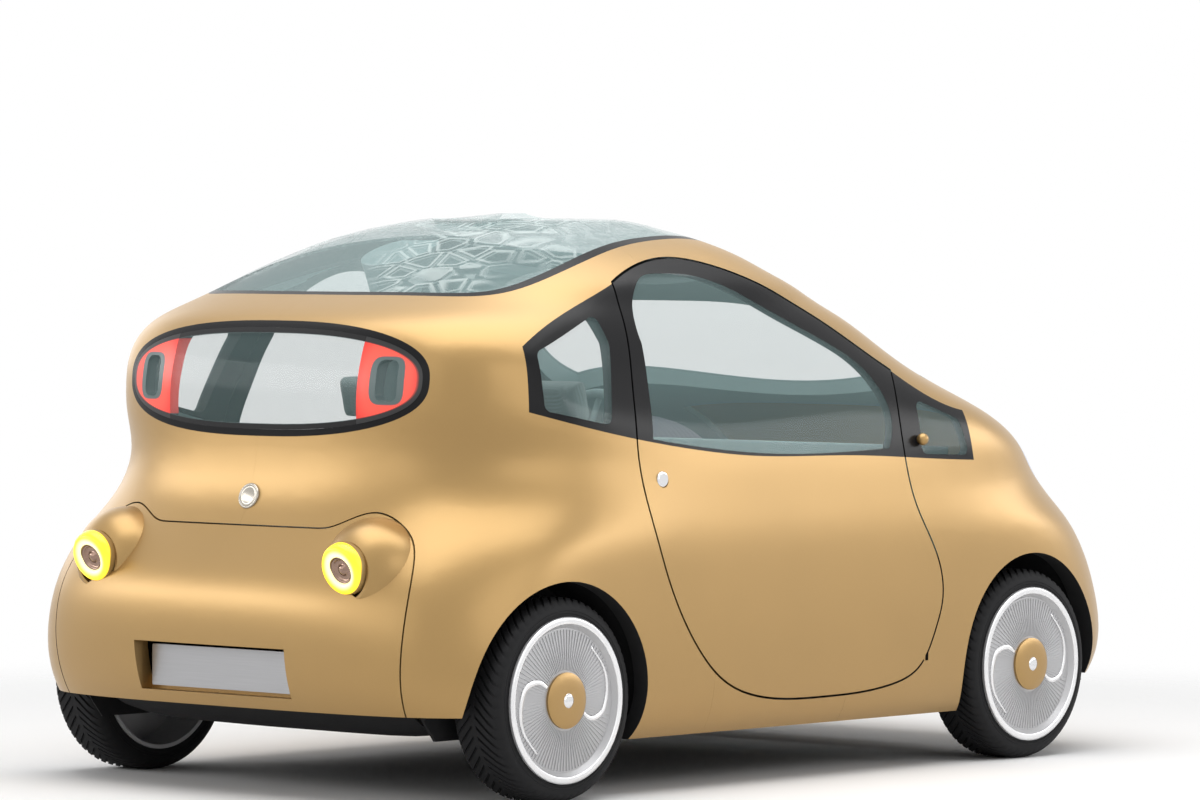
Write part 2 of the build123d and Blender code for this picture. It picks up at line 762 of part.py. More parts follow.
with BuildPart() as number_plate:
    with Locations((PLATE_BACK_X, 0, PLATE_Z)):
        Box(PLATE_DEPTH, PLATE_WIDTH, PLATE_HEIGHT, align=(Align.MAX, Align.CENTER, Align.CENTER))
    fillet(edges().filter_by(Axis.X), PLATE_DEPTH / 4)
save("number_plate", number_plate.part)

# Nose: lower panel, headlamps, bonnet and the small camera pods beside the doors
with BuildPart() as front_panel:
    add(panel(front_panel_prism()))
    add(lifts.part, mode=Mode.SUBTRACT)
save("front_panel", front_panel.part)
save("headlamps", both_sides(panel(headlamp_prism(FIT_GAP))))

with BuildPart() as bonnet:
    add(outer_form)
    add(bonnet_prism(), mode=Mode.INTERSECT)
    add(frame_form, mode=Mode.SUBTRACT)
    with Locations((0, 0, 0)):
        Box(2 * FAR, 2 * FAR, 2 * FRONT_PANEL_Z, mode=Mode.SUBTRACT)
    add(hinge_barrels)
    add(hinge_rooms, mode=Mode.SUBTRACT)
    with Locations((HINGE_X, 0, HINGE_Z)):
        with GridLocations(0, 2 * HINGE_Y, 1, 2):
            for end in (-1, 1):
                with Locations((0, end * (HINGE_LENGTH + HINGE_RADIUS) / 2, 0)):
                    with Locations(Rotation(90, 0, 0)):
                        Cylinder(HINGE_RADIUS + DOOR_GAP, HINGE_RADIUS + FIT_GAP, mode=Mode.SUBTRACT)
save("bonnet", bonnet.part)

CAMERA_Y = 826
with BuildPart() as camera:
    with Locations((CAMERA_X, -CAMERA_Y, CAMERA_Z)):
        Sphere(CAMERA_RADIUS)
    add(outer_form, mode=Mode.SUBTRACT)
save("camera_pods", both_sides(camera.part))

# Floor: a flat pan, a toe board up to the dash and a raised load floor over the rear axle
floor_line = [
    (TAIL_X, LOAD_FLOOR_Z),
    (FLOOR_REAR_X - SHEET, LOAD_FLOOR_Z),
    (FLOOR_REAR_X, FLOOR_Z),
    (FLOOR_FRONT_X, FLOOR_Z),
    (DASH_X, DASH_Z - SHEET),
]
with BuildPart() as housing_space:
    for axle_x, radius, inner_y in (
        (FRONT_AXLE_X, ARCH_RADIUS_FRONT, HOUSING_FRONT_Y),
        (REAR_AXLE_X, ARCH_RADIUS_REAR, HOUSING_REAR_Y),
    ):
        outer_radius = radius + HOUSING_ROOM + HOUSING_WALL
        add(cylinder_along_y(outer_radius, axle_x, TYRE_RADIUS, inner_y - HOUSING_WALL, WIDTH))
        add(cylinder_along_y(outer_radius, axle_x, TYRE_RADIUS, -WIDTH, -inner_y + HOUSING_WALL))

with BuildPart() as floor_pan:
    with BuildSketch(Plane.XZ):
        with BuildLine():
            floor_edge = Polyline(*floor_line)
            offset(floor_edge, amount=SHEET, side=Side.LEFT)
        make_face()
    extrude(amount=WIDTH / 2, both=True)
    add(inner_form, mode=Mode.INTERSECT)
    add(housing_space.part, mode=Mode.SUBTRACT)
    with Locations((FLOOR_REAR_X, 0, LOAD_FLOOR_Z)):
        with GridLocations(0, WIDTH, 1, 2):
            Box(*DOOR_RELIEF, mode=Mode.SUBTRACT)
    with Locations((0, 0, FLOOR_Z)):
        with GridLocations(2 * JACK_PAD_X, 2 * JACK_PAD_Y, 2, 2):
            Cylinder(JACK_PAD_RADIUS, SHEET, align=(Align.CENTER, Align.CENTER, Align.MAX))
save("floor_pan", floor_pan.part)

with BuildPart() as cabin_space:
    with BuildSketch(Plane.XZ):
        with BuildLine():
            Polyline(*floor_line[1:], close=True)
        make_face()
    extrude(amount=WIDTH / 2, both=True)

# Wheel housings
with BuildPart() as wheel_housings:
    add(housing_space.part)
    for axle_x, radius, inner_y in (
        (FRONT_AXLE_X, ARCH_RADIUS_FRONT, HOUSING_FRONT_Y),
        (REAR_AXLE_X, ARCH_RADIUS_REAR, HOUSING_REAR_Y),
    ):
        add(
            [
                cylinder_along_y(radius + HOUSING_ROOM, axle_x, TYRE_RADIUS, inner_y, WIDTH),
                cylinder_along_y(radius + HOUSING_ROOM, axle_x, TYRE_RADIUS, -WIDTH, -inner_y),
            ],
            mode=Mode.SUBTRACT,
        )
    with Locations((0, 0, FLOOR_Z)):
        Box(2 * FAR, 2 * FAR, FAR, align=(Align.CENTER, Align.CENTER, Align.MAX), mode=Mode.SUBTRACT)
    add(inner_form, mode=Mode.INTERSECT)
    for arm_z in (ARM_LOWER_Z, ARM_UPPER_Z):
        with Locations((FRONT_AXLE_X, 0, arm_z - ARM_GAP)):
            Box(
                ARM_WIDTH + 2 * ARM_GAP,
                2 * (HOUSING_FRONT_Y + ARM_GAP),
                ARM_HEIGHT + 2 * ARM_GAP,
                align=(Align.CENTER, Align.CENTER, Align.MIN),
                mode=Mode.SUBTRACT,
            )
    with Locations((REAR_AXLE_X, 0, TYRE_RADIUS)):
        with Locations(Rotation(90, 0, 0)):
            Cylinder(AXLE_RADIUS + ARM_GAP, 2 * (HOUSING_REAR_Y + ARM_GAP), mode=Mode.SUBTRACT)
save("wheel_housings", wheel_housings.part)

# Heavy masses: the battery under the seats and the motor over the rear axle
with BuildPart() as battery_pack:
    with Locations((BATTERY_X, 0, FLOOR_TOP)):
        Box(*BATTERY_SIZE, align=(Align.CENTER, Align.CENTER, Align.MIN))
save("battery_pack", battery_pack.part)

with BuildPart() as motor:
    with Locations((REAR_AXLE_X, 0, LOAD_FLOOR_Z)):
        Box(*MOTOR_SIZE, align=(Align.CENTER, Align.CENTER, Align.MAX))
save("motor", motor.part)

# Front subframe with an upper and a lower arm to each kingpin
with BuildPart() as front_subframe:
    for arm_z in (ARM_LOWER_Z, ARM_UPPER_Z):
        with Locations((FRONT_AXLE_X, 0, arm_z)):
            Box(2 * ARM_WIDTH, 2 * FRAME_HALF_WIDTH, ARM_HEIGHT, align=(Align.CENTER, Align.CENTER, Align.MIN))
            Box(ARM_WIDTH, 2 * KINGPIN_Y, ARM_HEIGHT, align=(Align.CENTER, Align.CENTER, Align.MIN))
            with GridLocations(0, 2 * KINGPIN_Y, 1, 2):
                Cylinder(ARM_WIDTH / 2, ARM_HEIGHT, align=(Align.CENTER, Align.CENTER, Align.MIN))
                Cylinder(
                    KINGPIN_RADIUS + RUNNING_GAP,
                    ARM_HEIGHT,
                    align=(Align.CENTER, Align.CENTER, Align.MIN),
                    mode=Mode.SUBTRACT,
                )
    with Locations((FRONT_AXLE_X, 0, ARM_LOWER_Z)):
        with GridLocations(0, 2 * FRAME_HALF_WIDTH - ARM_WIDTH, 1, 2):
            Box(
                ARM_WIDTH,
                ARM_WIDTH,
                ARM_UPPER_Z - ARM_LOWER_Z,
                align=(Align.CENTER, Align.CENTER, Align.MIN),
            )
    with Locations((FLOOR_FRONT_X, 0, RAIL_Z)):
        with GridLocations(0, 2 * FRAME_HALF_WIDTH - ARM_WIDTH, 1, 2):
            Box(LENGTH / 2, ARM_WIDTH, RAIL_HEIGHT, align=(Align.MIN, Align.CENTER, Align.MIN))
    add(cabin_space.part, mode=Mode.SUBTRACT)
    add(inner_form, mode=Mode.INTERSECT)
save("front_subframe", front_subframe.part)

# Front knuckles: an upright on its kingpin, with the stub axle that carries the wheel
STUB_END_Y = RIM_FACE_Y - DISC_WALL / 2
with BuildPart() as knuckle:
    with Locations((FRONT_AXLE_X, -KINGPIN_Y, ARM_LOWER_Z)):
        Cylinder(
            KINGPIN_RADIUS,
            ARM_UPPER_Z + ARM_HEIGHT - ARM_LOWER_Z,
            align=(Align.CENTER, Align.CENTER, Align.MIN),
        )
    with Locations((FRONT_AXLE_X, -KINGPIN_Y, ARM_LOWER_Z + ARM_HEIGHT + ARM_GAP)):
        Cylinder(
            UPRIGHT_RADIUS,
            ARM_UPPER_Z - ARM_LOWER_Z - ARM_HEIGHT - 2 * ARM_GAP,
            align=(Align.CENTER, Align.CENTER, Align.MIN),
        )
    add(cylinder_along_y(STUB_RADIUS, FRONT_AXLE_X, TYRE_RADIUS, -STUB_END_Y, -KINGPIN_Y))
save("knuckle_right", knuckle.part)
save("knuckle_left", mirrored(knuckle.part))

# Rear axle tube on two trailing arms
with BuildPart() as rear_axle:
    add(cylinder_along_y(AXLE_RADIUS, REAR_AXLE_X, TYRE_RADIUS, -KINGPIN_Y, KINGPIN_Y))
    add(cylinder_along_y(STUB_RADIUS, REAR_AXLE_X, TYRE_RADIUS, -STUB_END_Y, STUB_END_Y))
    with BuildSketch(Plane.XZ.offset(-TRAILING_ARM_Y)):
        with BuildLine():
            Polyline(
                (REAR_AXLE_X - AXLE_RADIUS, TYRE_RADIUS - AXLE_RADIUS),
                (FLOOR_REAR_X + SHEET, FLOOR_Z + SHEET),
                (FLOOR_REAR_X + SHEET, FLOOR_Z + 5 * SHEET),
                (REAR_AXLE_X - AXLE_RADIUS, TYRE_RADIUS + AXLE_RADIUS),
                close=True,
            )
        make_face()
    extrude(amount=TRAILING_ARM_WIDTH)
    mirror(about=Plane.XZ)
    add(cabin_space.part, mode=Mode.SUBTRACT)
save("rear_axle", rear_axle.part)


def tyre_at(x, y):
    """A tyre turned about its axle, with rounded shoulders."""
    with BuildPart() as tyre:
        with BuildSketch(Plane.XY):
            with Locations(((BARREL_RADIUS + TYRE_RADIUS) / 2, 0)):
                Rectangle(TYRE_RADIUS - BARREL_RADIUS, TYRE_WIDTH)
            fillet(vertices().group_by(Axis.X)[-1], TYRE_SHOULDER)
        revolve(axis=Axis.Y)
    return Pos(x, y, TYRE_RADIUS) * tyre.part


def wheel_at(x, y, turned):
    """A wheel: barrel, dished disc and hub in one, with its outer face towards -Y unless it is turned."""
    face = -TYRE_WIDTH / 2
    with BuildPart() as wheel:
        with BuildSketch(Plane.XY):
            with BuildLine():
                Polyline(
                    (STUB_RADIUS + RUNNING_GAP, face + HUB_DEPTH),
                    (HUB_RADIUS, face + HUB_DEPTH),
                    (HUB_RADIUS, face + DISC_WALL + CAP_RISE),
                    (BARREL_RADIUS - BARREL_WALL, face + DISC_WALL + CAP_RISE),
                    (BARREL_RADIUS - BARREL_WALL, face + TYRE_WIDTH),
                    (BARREL_RADIUS, face + TYRE_WIDTH),
                    (BARREL_RADIUS, face),
                    (RIM_RADIUS, face),
                    (RIM_RADIUS, face - FIT_GAP - CAP_RISE / 2),
                    (BARREL_RADIUS - BARREL_WALL, face - FIT_GAP - CAP_RISE / 2),
                    (BARREL_RADIUS - 2 * BARREL_WALL, face + CAP_RISE / 2),
                    (CAP_RADIUS, face),
                    (STUB_RADIUS + RUNNING_GAP, face),
                    close=True,
                )
            make_face()
        revolve(axis=Axis.Y)
    placed = Pos(x, y, TYRE_RADIUS) * wheel.part
    return mirrored(Pos(x, -y, TYRE_RADIUS) * wheel.part) if turned else placed


def cap_at(x, y, turned):
    """A domed hub cap on the wheel's outer face."""
    face = -TYRE_WIDTH / 2
    with BuildPart() as cap:
        with BuildSketch(Plane.XY):
            with BuildLine():
                Polyline((0, face), (CAP_RADIUS, face), (CAP_RADIUS, face - CAP_RISE / 2))
                Spline((CAP_RADIUS, face - CAP_RISE / 2), (0, face - CAP_RISE), tangents=[(-1, -0.4), (-1, 0)])
                Line((0, face - CAP_RISE), (0, face))
            make_face()
        revolve(axis=Axis.Y)
    return mirrored(Pos(x, -y, TYRE_RADIUS) * cap.part) if turned else Pos(x, y, TYRE_RADIUS) * cap.part


for end, axle_x in (("front", FRONT_AXLE_X), ("rear", REAR_AXLE_X)):
    for side, wheel_y in (("right", -TRACK / 2), ("left", TRACK / 2)):
        save(f"tyre_{end}_{side}", tyre_at(axle_x, wheel_y))
        save(f"wheel_{end}_{side}", wheel_at(axle_x, wheel_y, wheel_y > 0))
        save(f"hub_cap_{end}_{side}", cap_at(axle_x, wheel_y, wheel_y > 0))

# Seats
SEAT_BASE_Z = FLOOR_TOP + BATTERY_SIZE[2]
CUSHION_HEIGHT = 190
CUSHION_LENGTH = 500
BACK_HEIGHT = 620
BACK_LEAN = 150
BACK_DEPTH = 130
SEAT_ROUND = 45


def seat_at(x, y, z, width, back_height):
    """A seat cut as one side profile, with rounded edges."""
    with BuildPart() as seat:
        with BuildSketch(Plane.XZ.offset(-y - width / 2)):
            with BuildLine():
                Polyline(
                    (x + CUSHION_LENGTH / 2, z),
                    (x + CUSHION_LENGTH / 2, z + CUSHION_HEIGHT),
                    (x - CUSHION_LENGTH / 2 + BACK_DEPTH, z + CUSHION_HEIGHT - SEAT_ROUND),
                    (x - CUSHION_LENGTH / 2 + BACK_DEPTH - BACK_LEAN, z + CUSHION_HEIGHT + back_height),
                    (x - CUSHION_LENGTH / 2 - BACK_LEAN, z + CUSHION_HEIGHT + back_height),
                    (x - CUSHION_LENGTH / 2, z),
                    close=True,
                )
            make_face()
            fillet(vertices().sort_by(Axis.Y)[2:], SEAT_ROUND)
        extrude(amount=width)
        fillet(faces().group_by(Axis.Y)[0].edges() + faces().group_by(Axis.Y)[-1].edges(), SEAT_ROUND / 2)
    return seat.part


for side, seat_y in (("right", -SEAT_Y), ("left", SEAT_Y)):
    save(f"seat_{side}", seat_at(SEAT_X, seat_y, SEAT_BASE_Z, SEAT_WIDTH, BACK_HEIGHT))

# Dashboard and steering
with BuildPart() as dashboard:
    with BuildSketch(Plane.XZ):
        with BuildLine():
            Polyline(
                (DASH_X - 160, DASH_Z - 30),
                (DASH_X - 120, DASH_Z + 40),
                (DASH_X + 120, DASH_Z + 30),
                (DASH_X + 120, DASH_Z),
                (DASH_X + 20, DASH_Z),
                (DASH_X - 40, DASH_Z - 170),
                (DASH_X - 130, DASH_Z - 150),
                close=True,
            )
        make_face()
        fillet(vertices().sort_by(Axis.X)[:3], SHEET)
    extrude(amount=CABIN_HALF_WIDTH, both=True)
    add(floor_pan.part, mode=Mode.SUBTRACT)
save("dashboard", dashboard.part)

# Steering column, and the steering wheel on its shaft
towards_driver = (-cos(radians(WHEEL_TILT)), 0, sin(radians(WHEEL_TILT)))
steering_plane = Plane(origin=(STEERING_X, SEAT_Y, STEERING_Z), x_dir=(0, 1, 0), z_dir=towards_driver)
SHAFT_LENGTH = 150
HUB_LENGTH = 36
SPOKE_RADIUS = 9
with BuildPart() as steering_column:
    with BuildSketch(steering_plane.offset(-HUB_LENGTH - FIT_GAP)):
        Circle(COLUMN_RADIUS)
    extrude(amount=-LENGTH / 10)
    with BuildSketch(steering_plane.offset(-HUB_LENGTH - FIT_GAP)):
        Circle(SHAFT_RADIUS + RUNNING_GAP)
    extrude(amount=-SHAFT_LENGTH, mode=Mode.SUBTRACT)
    add(dashboard.part, mode=Mode.SUBTRACT)
    with Locations((DASH_X, 0, 0)):
        Box(FAR, 2 * FAR, 2 * FAR, align=(Align.MIN, Align.CENTER, Align.CENTER), mode=Mode.SUBTRACT)
save("steering_column", steering_column.part)

with BuildPart() as steering_wheel:
    with Locations(steering_plane):
        Torus(STEERING_RADIUS, STEERING_GRIP)
        Cylinder(2 * COLUMN_RADIUS / 1.5, HUB_LENGTH, align=(Align.CENTER, Align.CENTER, Align.MAX))
        Cylinder(SHAFT_RADIUS, HUB_LENGTH + SHAFT_LENGTH / 2, align=(Align.CENTER, Align.CENTER, Align.MAX))
        with Locations((0, 0, -STEERING_GRIP / 2)):
            with PolarLocations(0, 3, start_angle=-90):
                with Locations(Rotation(0, 90, 0)):
                    Cylinder(SPOKE_RADIUS, STEERING_RADIUS, align=(Align.CENTER, Align.CENTER, Align.MIN))
save("steering_wheel", steering_wheel.part)

# Trunk-shaped column from the load floor up to the roof dome
TRUNK_LEVELS = [(0.0, 1.4), (0.35, 1.0), (0.75, 1.2), (1.0, 2.6)]
TRUNK_HEIGHT = 860
with BuildPart() as roof_trunk:
    for share, flare in TRUNK_LEVELS:
        with BuildSketch(Plane.XY.offset(LOAD_FLOOR_Z + SHEET + share * TRUNK_HEIGHT)):
            with Locations((TRUNK_X, 0)):
                Circle(TRUNK_RADIUS * flare)
    loft()
    add(Pos(0, 0, -FIT_GAP) * glass_form, mode=Mode.INTERSECT)
save("roof_trunk", roof_trunk.part)
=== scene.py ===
"""Finishes and fine pieces of a small concept city car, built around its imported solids."""

import json
from math import cos, pi, radians, sin

import bmesh
import bpy
from mathutils import Matrix, Vector
from mathutils.bvhtree import BVHTree


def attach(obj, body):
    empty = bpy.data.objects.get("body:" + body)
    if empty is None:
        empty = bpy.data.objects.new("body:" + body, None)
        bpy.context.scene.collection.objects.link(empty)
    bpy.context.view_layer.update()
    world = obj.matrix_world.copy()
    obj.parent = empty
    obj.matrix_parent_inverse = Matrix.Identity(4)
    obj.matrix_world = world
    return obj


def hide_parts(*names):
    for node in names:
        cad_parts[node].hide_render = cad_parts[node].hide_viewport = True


bl_info = {
    "name": "Concept city car finishes",
    "version": (1, 0, 0),
    "blender": (4, 5, 0),
    "location": "View3D > Sidebar > City car",
    "description": "Paint, glass, tyres, wheel details, seats and studio for a small city car",
    "category": "Object",
}

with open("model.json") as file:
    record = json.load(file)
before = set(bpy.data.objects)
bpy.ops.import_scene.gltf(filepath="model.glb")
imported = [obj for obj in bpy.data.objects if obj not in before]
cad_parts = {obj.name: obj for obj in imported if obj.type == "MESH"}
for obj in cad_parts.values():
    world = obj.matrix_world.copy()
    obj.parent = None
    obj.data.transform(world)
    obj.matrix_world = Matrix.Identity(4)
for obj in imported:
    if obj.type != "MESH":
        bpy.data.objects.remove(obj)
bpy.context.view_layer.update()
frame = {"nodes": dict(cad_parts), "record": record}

# CAD nodes whose finish is not the one of their slot
NODE_FINISHES = {
    "body_shell": "lined_paint",
    "door_panel_right": "lined_paint",
    "door_panel_left": "lined_paint",
    "rear_window": "rear_glass",
    "roof_glass": "roof_glass",
}

# The wheels, in metres: where they stand, and the sizes of the tyre, the disc and its cap
AXLES = {"front": 0.95, "rear": -1.03}
HALF_TRACK = 0.755
TYRE_RADIUS = 0.27
TYRE_HALF_WIDTH = 0.0825
BEAD_RADIUS = 0.212
SHOULDER = 0.034
CENTRE_RIB = 0.007
CAP_RADIUS = 0.074
CAP_RISE = 0.013
DISC_EDGE = 0.19
DISC_DISH = 0.0065

# Bare disc at the inner and the outer end of the ribs, in metres
RIB_INNER_GAP = 0.006
RIB_OUTER_GAP = 0.004

# A swirl line's height over the disc, how deep its foot is, in metres, and its steps from point to point
SWIRL_RISE = 0.0035
SWIRL_ROOT = -0.001
SWIRL_STEPS = 8

# The paint: how metallic it is, the point that its outer side faces away from, and the lining's foot
PAINT_METALLIC = 0.7
BODY_MIDDLE = (-0.05, 0.0, 0.7)
LINING_FOOT_Z = 0.6

# The black flaps in front of the front wheels, in metres: where they start, and their upper edge
FLAP_FROM_X = 1.2
FLAP_TOP_Z = 0.226

# How far from a wheel's axis the inside of its arch is black, in metres
ARCH_REACH = 0.345

# How much the glass of the windows covers
GLASS_OPACITY = 0.13

# The clear part of the rear window: half its width and height, and its middle's height, in metres
REAR_OVAL = (0.528, 0.121)
REAR_OVAL_Z = 1.104
REAR_OVAL_ROUNDNESS = 2.5

# Middle of a tail lamp's ring and half the size of what it goes round, across and up, in metres
TAIL_LAMP_MIDDLE = (0.44, 1.104)
TAIL_LAMP_HOLE = (0.052, 0.064)

# Middle of a ring lamp's face, in metres with y towards its own side, and how far it looks up in degrees
RING_LAMP_PLACE = (-1.491, 0.47, 0.614)
RING_LAMP_TILT = 18

# The seats: how far they are from the car's middle, in metres, and how full a pad is
SEAT_Y = 0.33
PAD_FULLNESS = 0.82

# A door's inner pad, in metres: its middle and half size along and up, its gap and the arm rest's depth
CARD_MIDDLE = (-0.06, 0.645)
CARD_HALF = (0.44, 0.235)
CARD_GAP = 0.001
ARM_REST = 0.03

# Height of the plain disc on the tail, in metres
BADGE_Z = 0.79

# The tray under the tail, in metres: x, z and half width of its rows, front to back
TRAY_ROWS = (
    (-0.64, 0.168, 0.53),
    (-0.8, 0.15, 0.55),
    (-1.1, 0.15, 0.55),
    (-1.28, 0.172, 0.56),
    (-1.39, 0.236, 0.58),
)
TRAY_COLUMNS = 13
TRAY_THICKNESS = 0.008
TRAY_EDGE_LIFT = 0.03

# The floor, and how far from its middle it starts to fade and is gone, in metres
FLOOR_RADIUS = 14.0
FLOOR_SOLID = 2.0
FLOOR_CLEAR = 4.6

# How strongly the white surround lights the car
SURROUND_LIGHT = 0.3

# The camera, in metres and degrees
CAMERA_PLACE = (-12.8648, -11.5259, 1.4616)
CAMERA_YAW = 41.769
CAMERA_PITCH = -1.4526
CAMERA_ROLL = 0.189
CAMERA_LENS = 183.1


# Shader maths


class Value:
    """One output of a node: sums, products and powers of it add Math nodes."""

    def __init__(self, tree, socket):
        self.tree = tree
        self.socket = socket

    def maths(self, operation, other=0.0, reflected=False):
        """A Math node of this value and another value or number."""
        pair = (other, self) if reflected else (self, other)
        return add_node(self.tree, "ShaderNodeMath", {"operation": operation}, at=dict(enumerate(pair)))

    def __add__(self, other):
        return self.maths("ADD", other)

    def __radd__(self, other):
        return self.maths("ADD", other, reflected=True)

    def __sub__(self, other):
        return self.maths("SUBTRACT", other)

    def __rsub__(self, other):
        return self.maths("SUBTRACT", other, reflected=True)

    def __mul__(self, other):
        return self.maths("MULTIPLY", other)

    def __rmul__(self, other):
        return self.maths("MULTIPLY", other, reflected=True)

    def __truediv__(self, other):
        return self.maths("DIVIDE", other)

    def __pow__(self, other):
        return self.maths("POWER", other)

    def __abs__(self):
        return self.maths("ABSOLUTE")

    def larger(self, other):
        """The larger of two values."""
        return self.maths("MAXIMUM", other)

    def over(self, limit, softness):
        """0 below a limit and 1 above it, with a soft step."""
        return add_node(
            self.tree,
            "ShaderNodeMapRange",
            {"interpolation_type": "SMOOTHSTEP"},
            Value=self,
            From_Min=limit - softness,
            From_Max=limit + softness,
        )


def feed(tree, socket, given):
    """Links a value to a socket, or sets the socket to a number, colour or vector."""
    if isinstance(given, Value):
        tree.links.new(given.socket, socket)
    else:
        socket.default_value = given


def add_node(tree, kind, settings=None, output=0, at=None, **inputs):
    """Adds a node and returns one output: inputs are fed by number in at, or by name with _ for a space."""
    made = tree.nodes.new(kind)
    for name, given in (settings or {}).items():
        setattr(made, name, given)
    for place, given in (at or {}).items():
        feed(tree, made.inputs[place], given)
    for name, given in inputs.items():
        feed(tree, made.inputs[name.replace("_", " ")], given)
    return Value(tree, made.outputs[output])


class Finish:
    """A material made of one Principled shader."""

    def __init__(self, name, **constants):
        self.material = bpy.data.materials.new(name)
        self.material.use_nodes = True
        self.tree = self.material.node_tree
        self.shader = self.tree.nodes["Principled BSDF"]
        self.set(**constants)

    def set(self, **inputs):
        """Feeds the shader's own sockets."""
        for name, given in inputs.items():
            feed(self.tree, self.shader.inputs[name.replace("_", " ")], given)

    def node(self, kind, settings=None, output=0, at=None, **inputs):
        """Adds a node to the material."""
        return add_node(self.tree, kind, settings, output, at, **inputs)

    def place(self):
        """The piece's own coordinates, which are the car's, in metres."""
        return self.node("ShaderNodeTexCoord", output="Object")

    def normal(self):
        """Which way the surface faces, in the piece's own directions."""
        return self.node("ShaderNodeTexCoord", output="Normal")

    def part(self, vector, axis):
        """One part of a vector: X, Y or Z."""
        return self.node("ShaderNodeSeparateXYZ", output=axis, Vector=vector)

    def noise(self, scale, detail=3.0, place=None):
        """Cloudy noise, about a half all over."""
        return self.node("ShaderNodeTexNoise", Vector=place or self.place(), Scale=scale, Detail=detail)

    def waves(self, direction, scale, distortion):
        """Stripes across one direction."""
        return self.node(
            "ShaderNodeTexWave",
            {"bands_direction": direction},
            Vector=self.place(),
            Scale=scale,
            Distortion=distortion,
        )

    def blend(self, factor, first, second):
        """A colour between two others: a Mix node's colours are its inputs 6 and 7 and its output 2."""
        sockets = {0: factor, 6: first, 7: second}
        return self.node("ShaderNodeMix", {"data_type": "RGBA"}, output=2, at=sockets)

    def vectors(self, operation, first, second=(0.0, 0.0, 0.0), output=0):
        """A Vector Math node of two vectors; its second output is a number."""
        return self.node("ShaderNodeVectorMath", {"operation": operation}, output, {0: first, 1: second})

    def bump(self, height, strength, distance):
        """Raises the surface by a height."""
        self.set(Normal=self.node("ShaderNodeBump", Height=height, Strength=strength, Distance=distance))


def colour(values, share=1.0):
    """A colour setting as a socket's four numbers, a share as bright."""
    return (values[0] * share, values[1] * share, values[2] * share, 1.0)


# Settings that a user would change


def colour_setting(name, description, default):
    """A colour property."""
    return bpy.props.FloatVectorProperty(
        name=name, description=description, default=default, subtype="COLOR", min=0.0, max=1.0
    )


def length_setting(name, description, default):
    """A length property in metres."""
    return bpy.props.FloatProperty(
        name=name, description=description, default=default, unit="LENGTH", precision=4
    )


def count_setting(name, description, default):
    """A number of like things."""
    return bpy.props.IntProperty(name=name, description=description, default=default, min=12)


class CarColours(bpy.types.PropertyGroup):
    """The car's colours."""

    paint: colour_setting("Paint", "Satin gold of the body", (0.41, 0.255, 0.092))
    lining: colour_setting("Lining", "Grey green of the cabin's lining", (0.23, 0.33, 0.33))
    card: colour_setting("Door card", "Warm beige of the doors' inner pads", (0.55, 0.5, 0.41))
    cloth: colour_setting("Seat cloth", "Grey green of the seats", (0.3, 0.4, 0.39))
    black: colour_setting("Black trim", "Gloss black round the windows", (0.012, 0.012, 0.013))
    glass: colour_setting("Glass", "Tint of the glass", (0.32, 0.46, 0.46))
    tail: colour_setting("Tail lamps", "Red of the tail lamps", (0.78, 0.025, 0.018))
    ring: colour_setting("Ring lamps", "Yellow glow of the ring lamps", (1.0, 0.72, 0.03))
    silver: colour_setting("Silver", "Silver of the wheel discs", (0.5, 0.5, 0.51))
    rubber: colour_setting("Rubber", "Black of the tyres", (0.012, 0.012, 0.013))


class CarSizes(bpy.types.PropertyGroup):
    """The sizes of the fine pieces."""

    rib_count: count_setting("Ribs", "Fine ribs on a wheel disc", 96)
    rib_width: length_setting("Rib width", "Width of a rib", 0.0022)
    rib_height: length_setting("Rib height", "Height of a rib over the disc", 0.002)
    swirl_width: length_setting("Swirl width", "Width of a swirl line at its widest", 0.017)
    tread_blocks: count_setting("Tread blocks", "Blocks round a tyre", 58)
    tread_depth: length_setting("Tread depth", "Depth of the grooves", 0.006)
    tread_slant: bpy.props.FloatProperty(
        name="Tread slant",
        description="How far a groove leans over the tyre's half width",
        default=0.3,
        subtype="ANGLE",
    )
    badge_radius: length_setting("Badge radius", "Radius of the plain disc on the tail", 0.036)
    card_depth: length_setting("Door card depth", "Thickness of a door's inner pad", 0.016)


# Mesh helpers


def add_piece(name, mesh, material, body):
    """Puts a mesh in the scene as a piece that rides on a body."""
    piece = bpy.data.objects.new(name, mesh)
    bpy.context.scene.collection.objects.link(piece)
    mesh.materials.clear()
    mesh.materials.append(material)
    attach(piece, body)
    return piece


def mesh_from(name, points, faces):
    """A smooth mesh with its doubles merged and its faces pointing outwards."""
    mesh = bpy.data.meshes.new(name)
    mesh.from_pydata(points, [], faces)
    made = bmesh.new()
    made.from_mesh(mesh)
    bmesh.ops.remove_doubles(made, verts=made.verts, dist=1e-6)
    bmesh.ops.recalc_face_normals(made, faces=made.faces)
    made.to_mesh(mesh)
    made.free()
    mesh.shade_smooth()
    return mesh


def grid_faces(rows, columns, closed_rows=False, closed_columns=False):
    """Quads between rows of points."""
    faces = []
    for row in range(rows if closed_rows else rows - 1):
        for column in range(columns if closed_columns else columns - 1):
            beside = (column + 1) % columns
            lower = row * columns
            upper = (row + 1) % rows * columns
            faces.append((lower + column, lower + beside, upper + beside, upper + column))
    return faces


def layer_faces(rows, columns):
    """Quads of two layers of rows of points, the second layer facing the other way."""
    flat = grid_faces(rows, columns)
    count = rows * columns
    return flat + [tuple(corner + count for corner in reversed(face)) for face in flat]


def turned_mesh(name, profile, count, ring):
    """A closed ring, or a form with a pole where its radius is 0, turned about Y from (radius, y) points."""
    points = []
    for radius, along in profile:
        for step in range(count):
            turn = 2 * pi * step / count
            points.append((radius * cos(turn), along, radius * sin(turn)))
    return mesh_from(name, points, grid_faces(len(profile), count, closed_rows=ring, closed_columns=True))


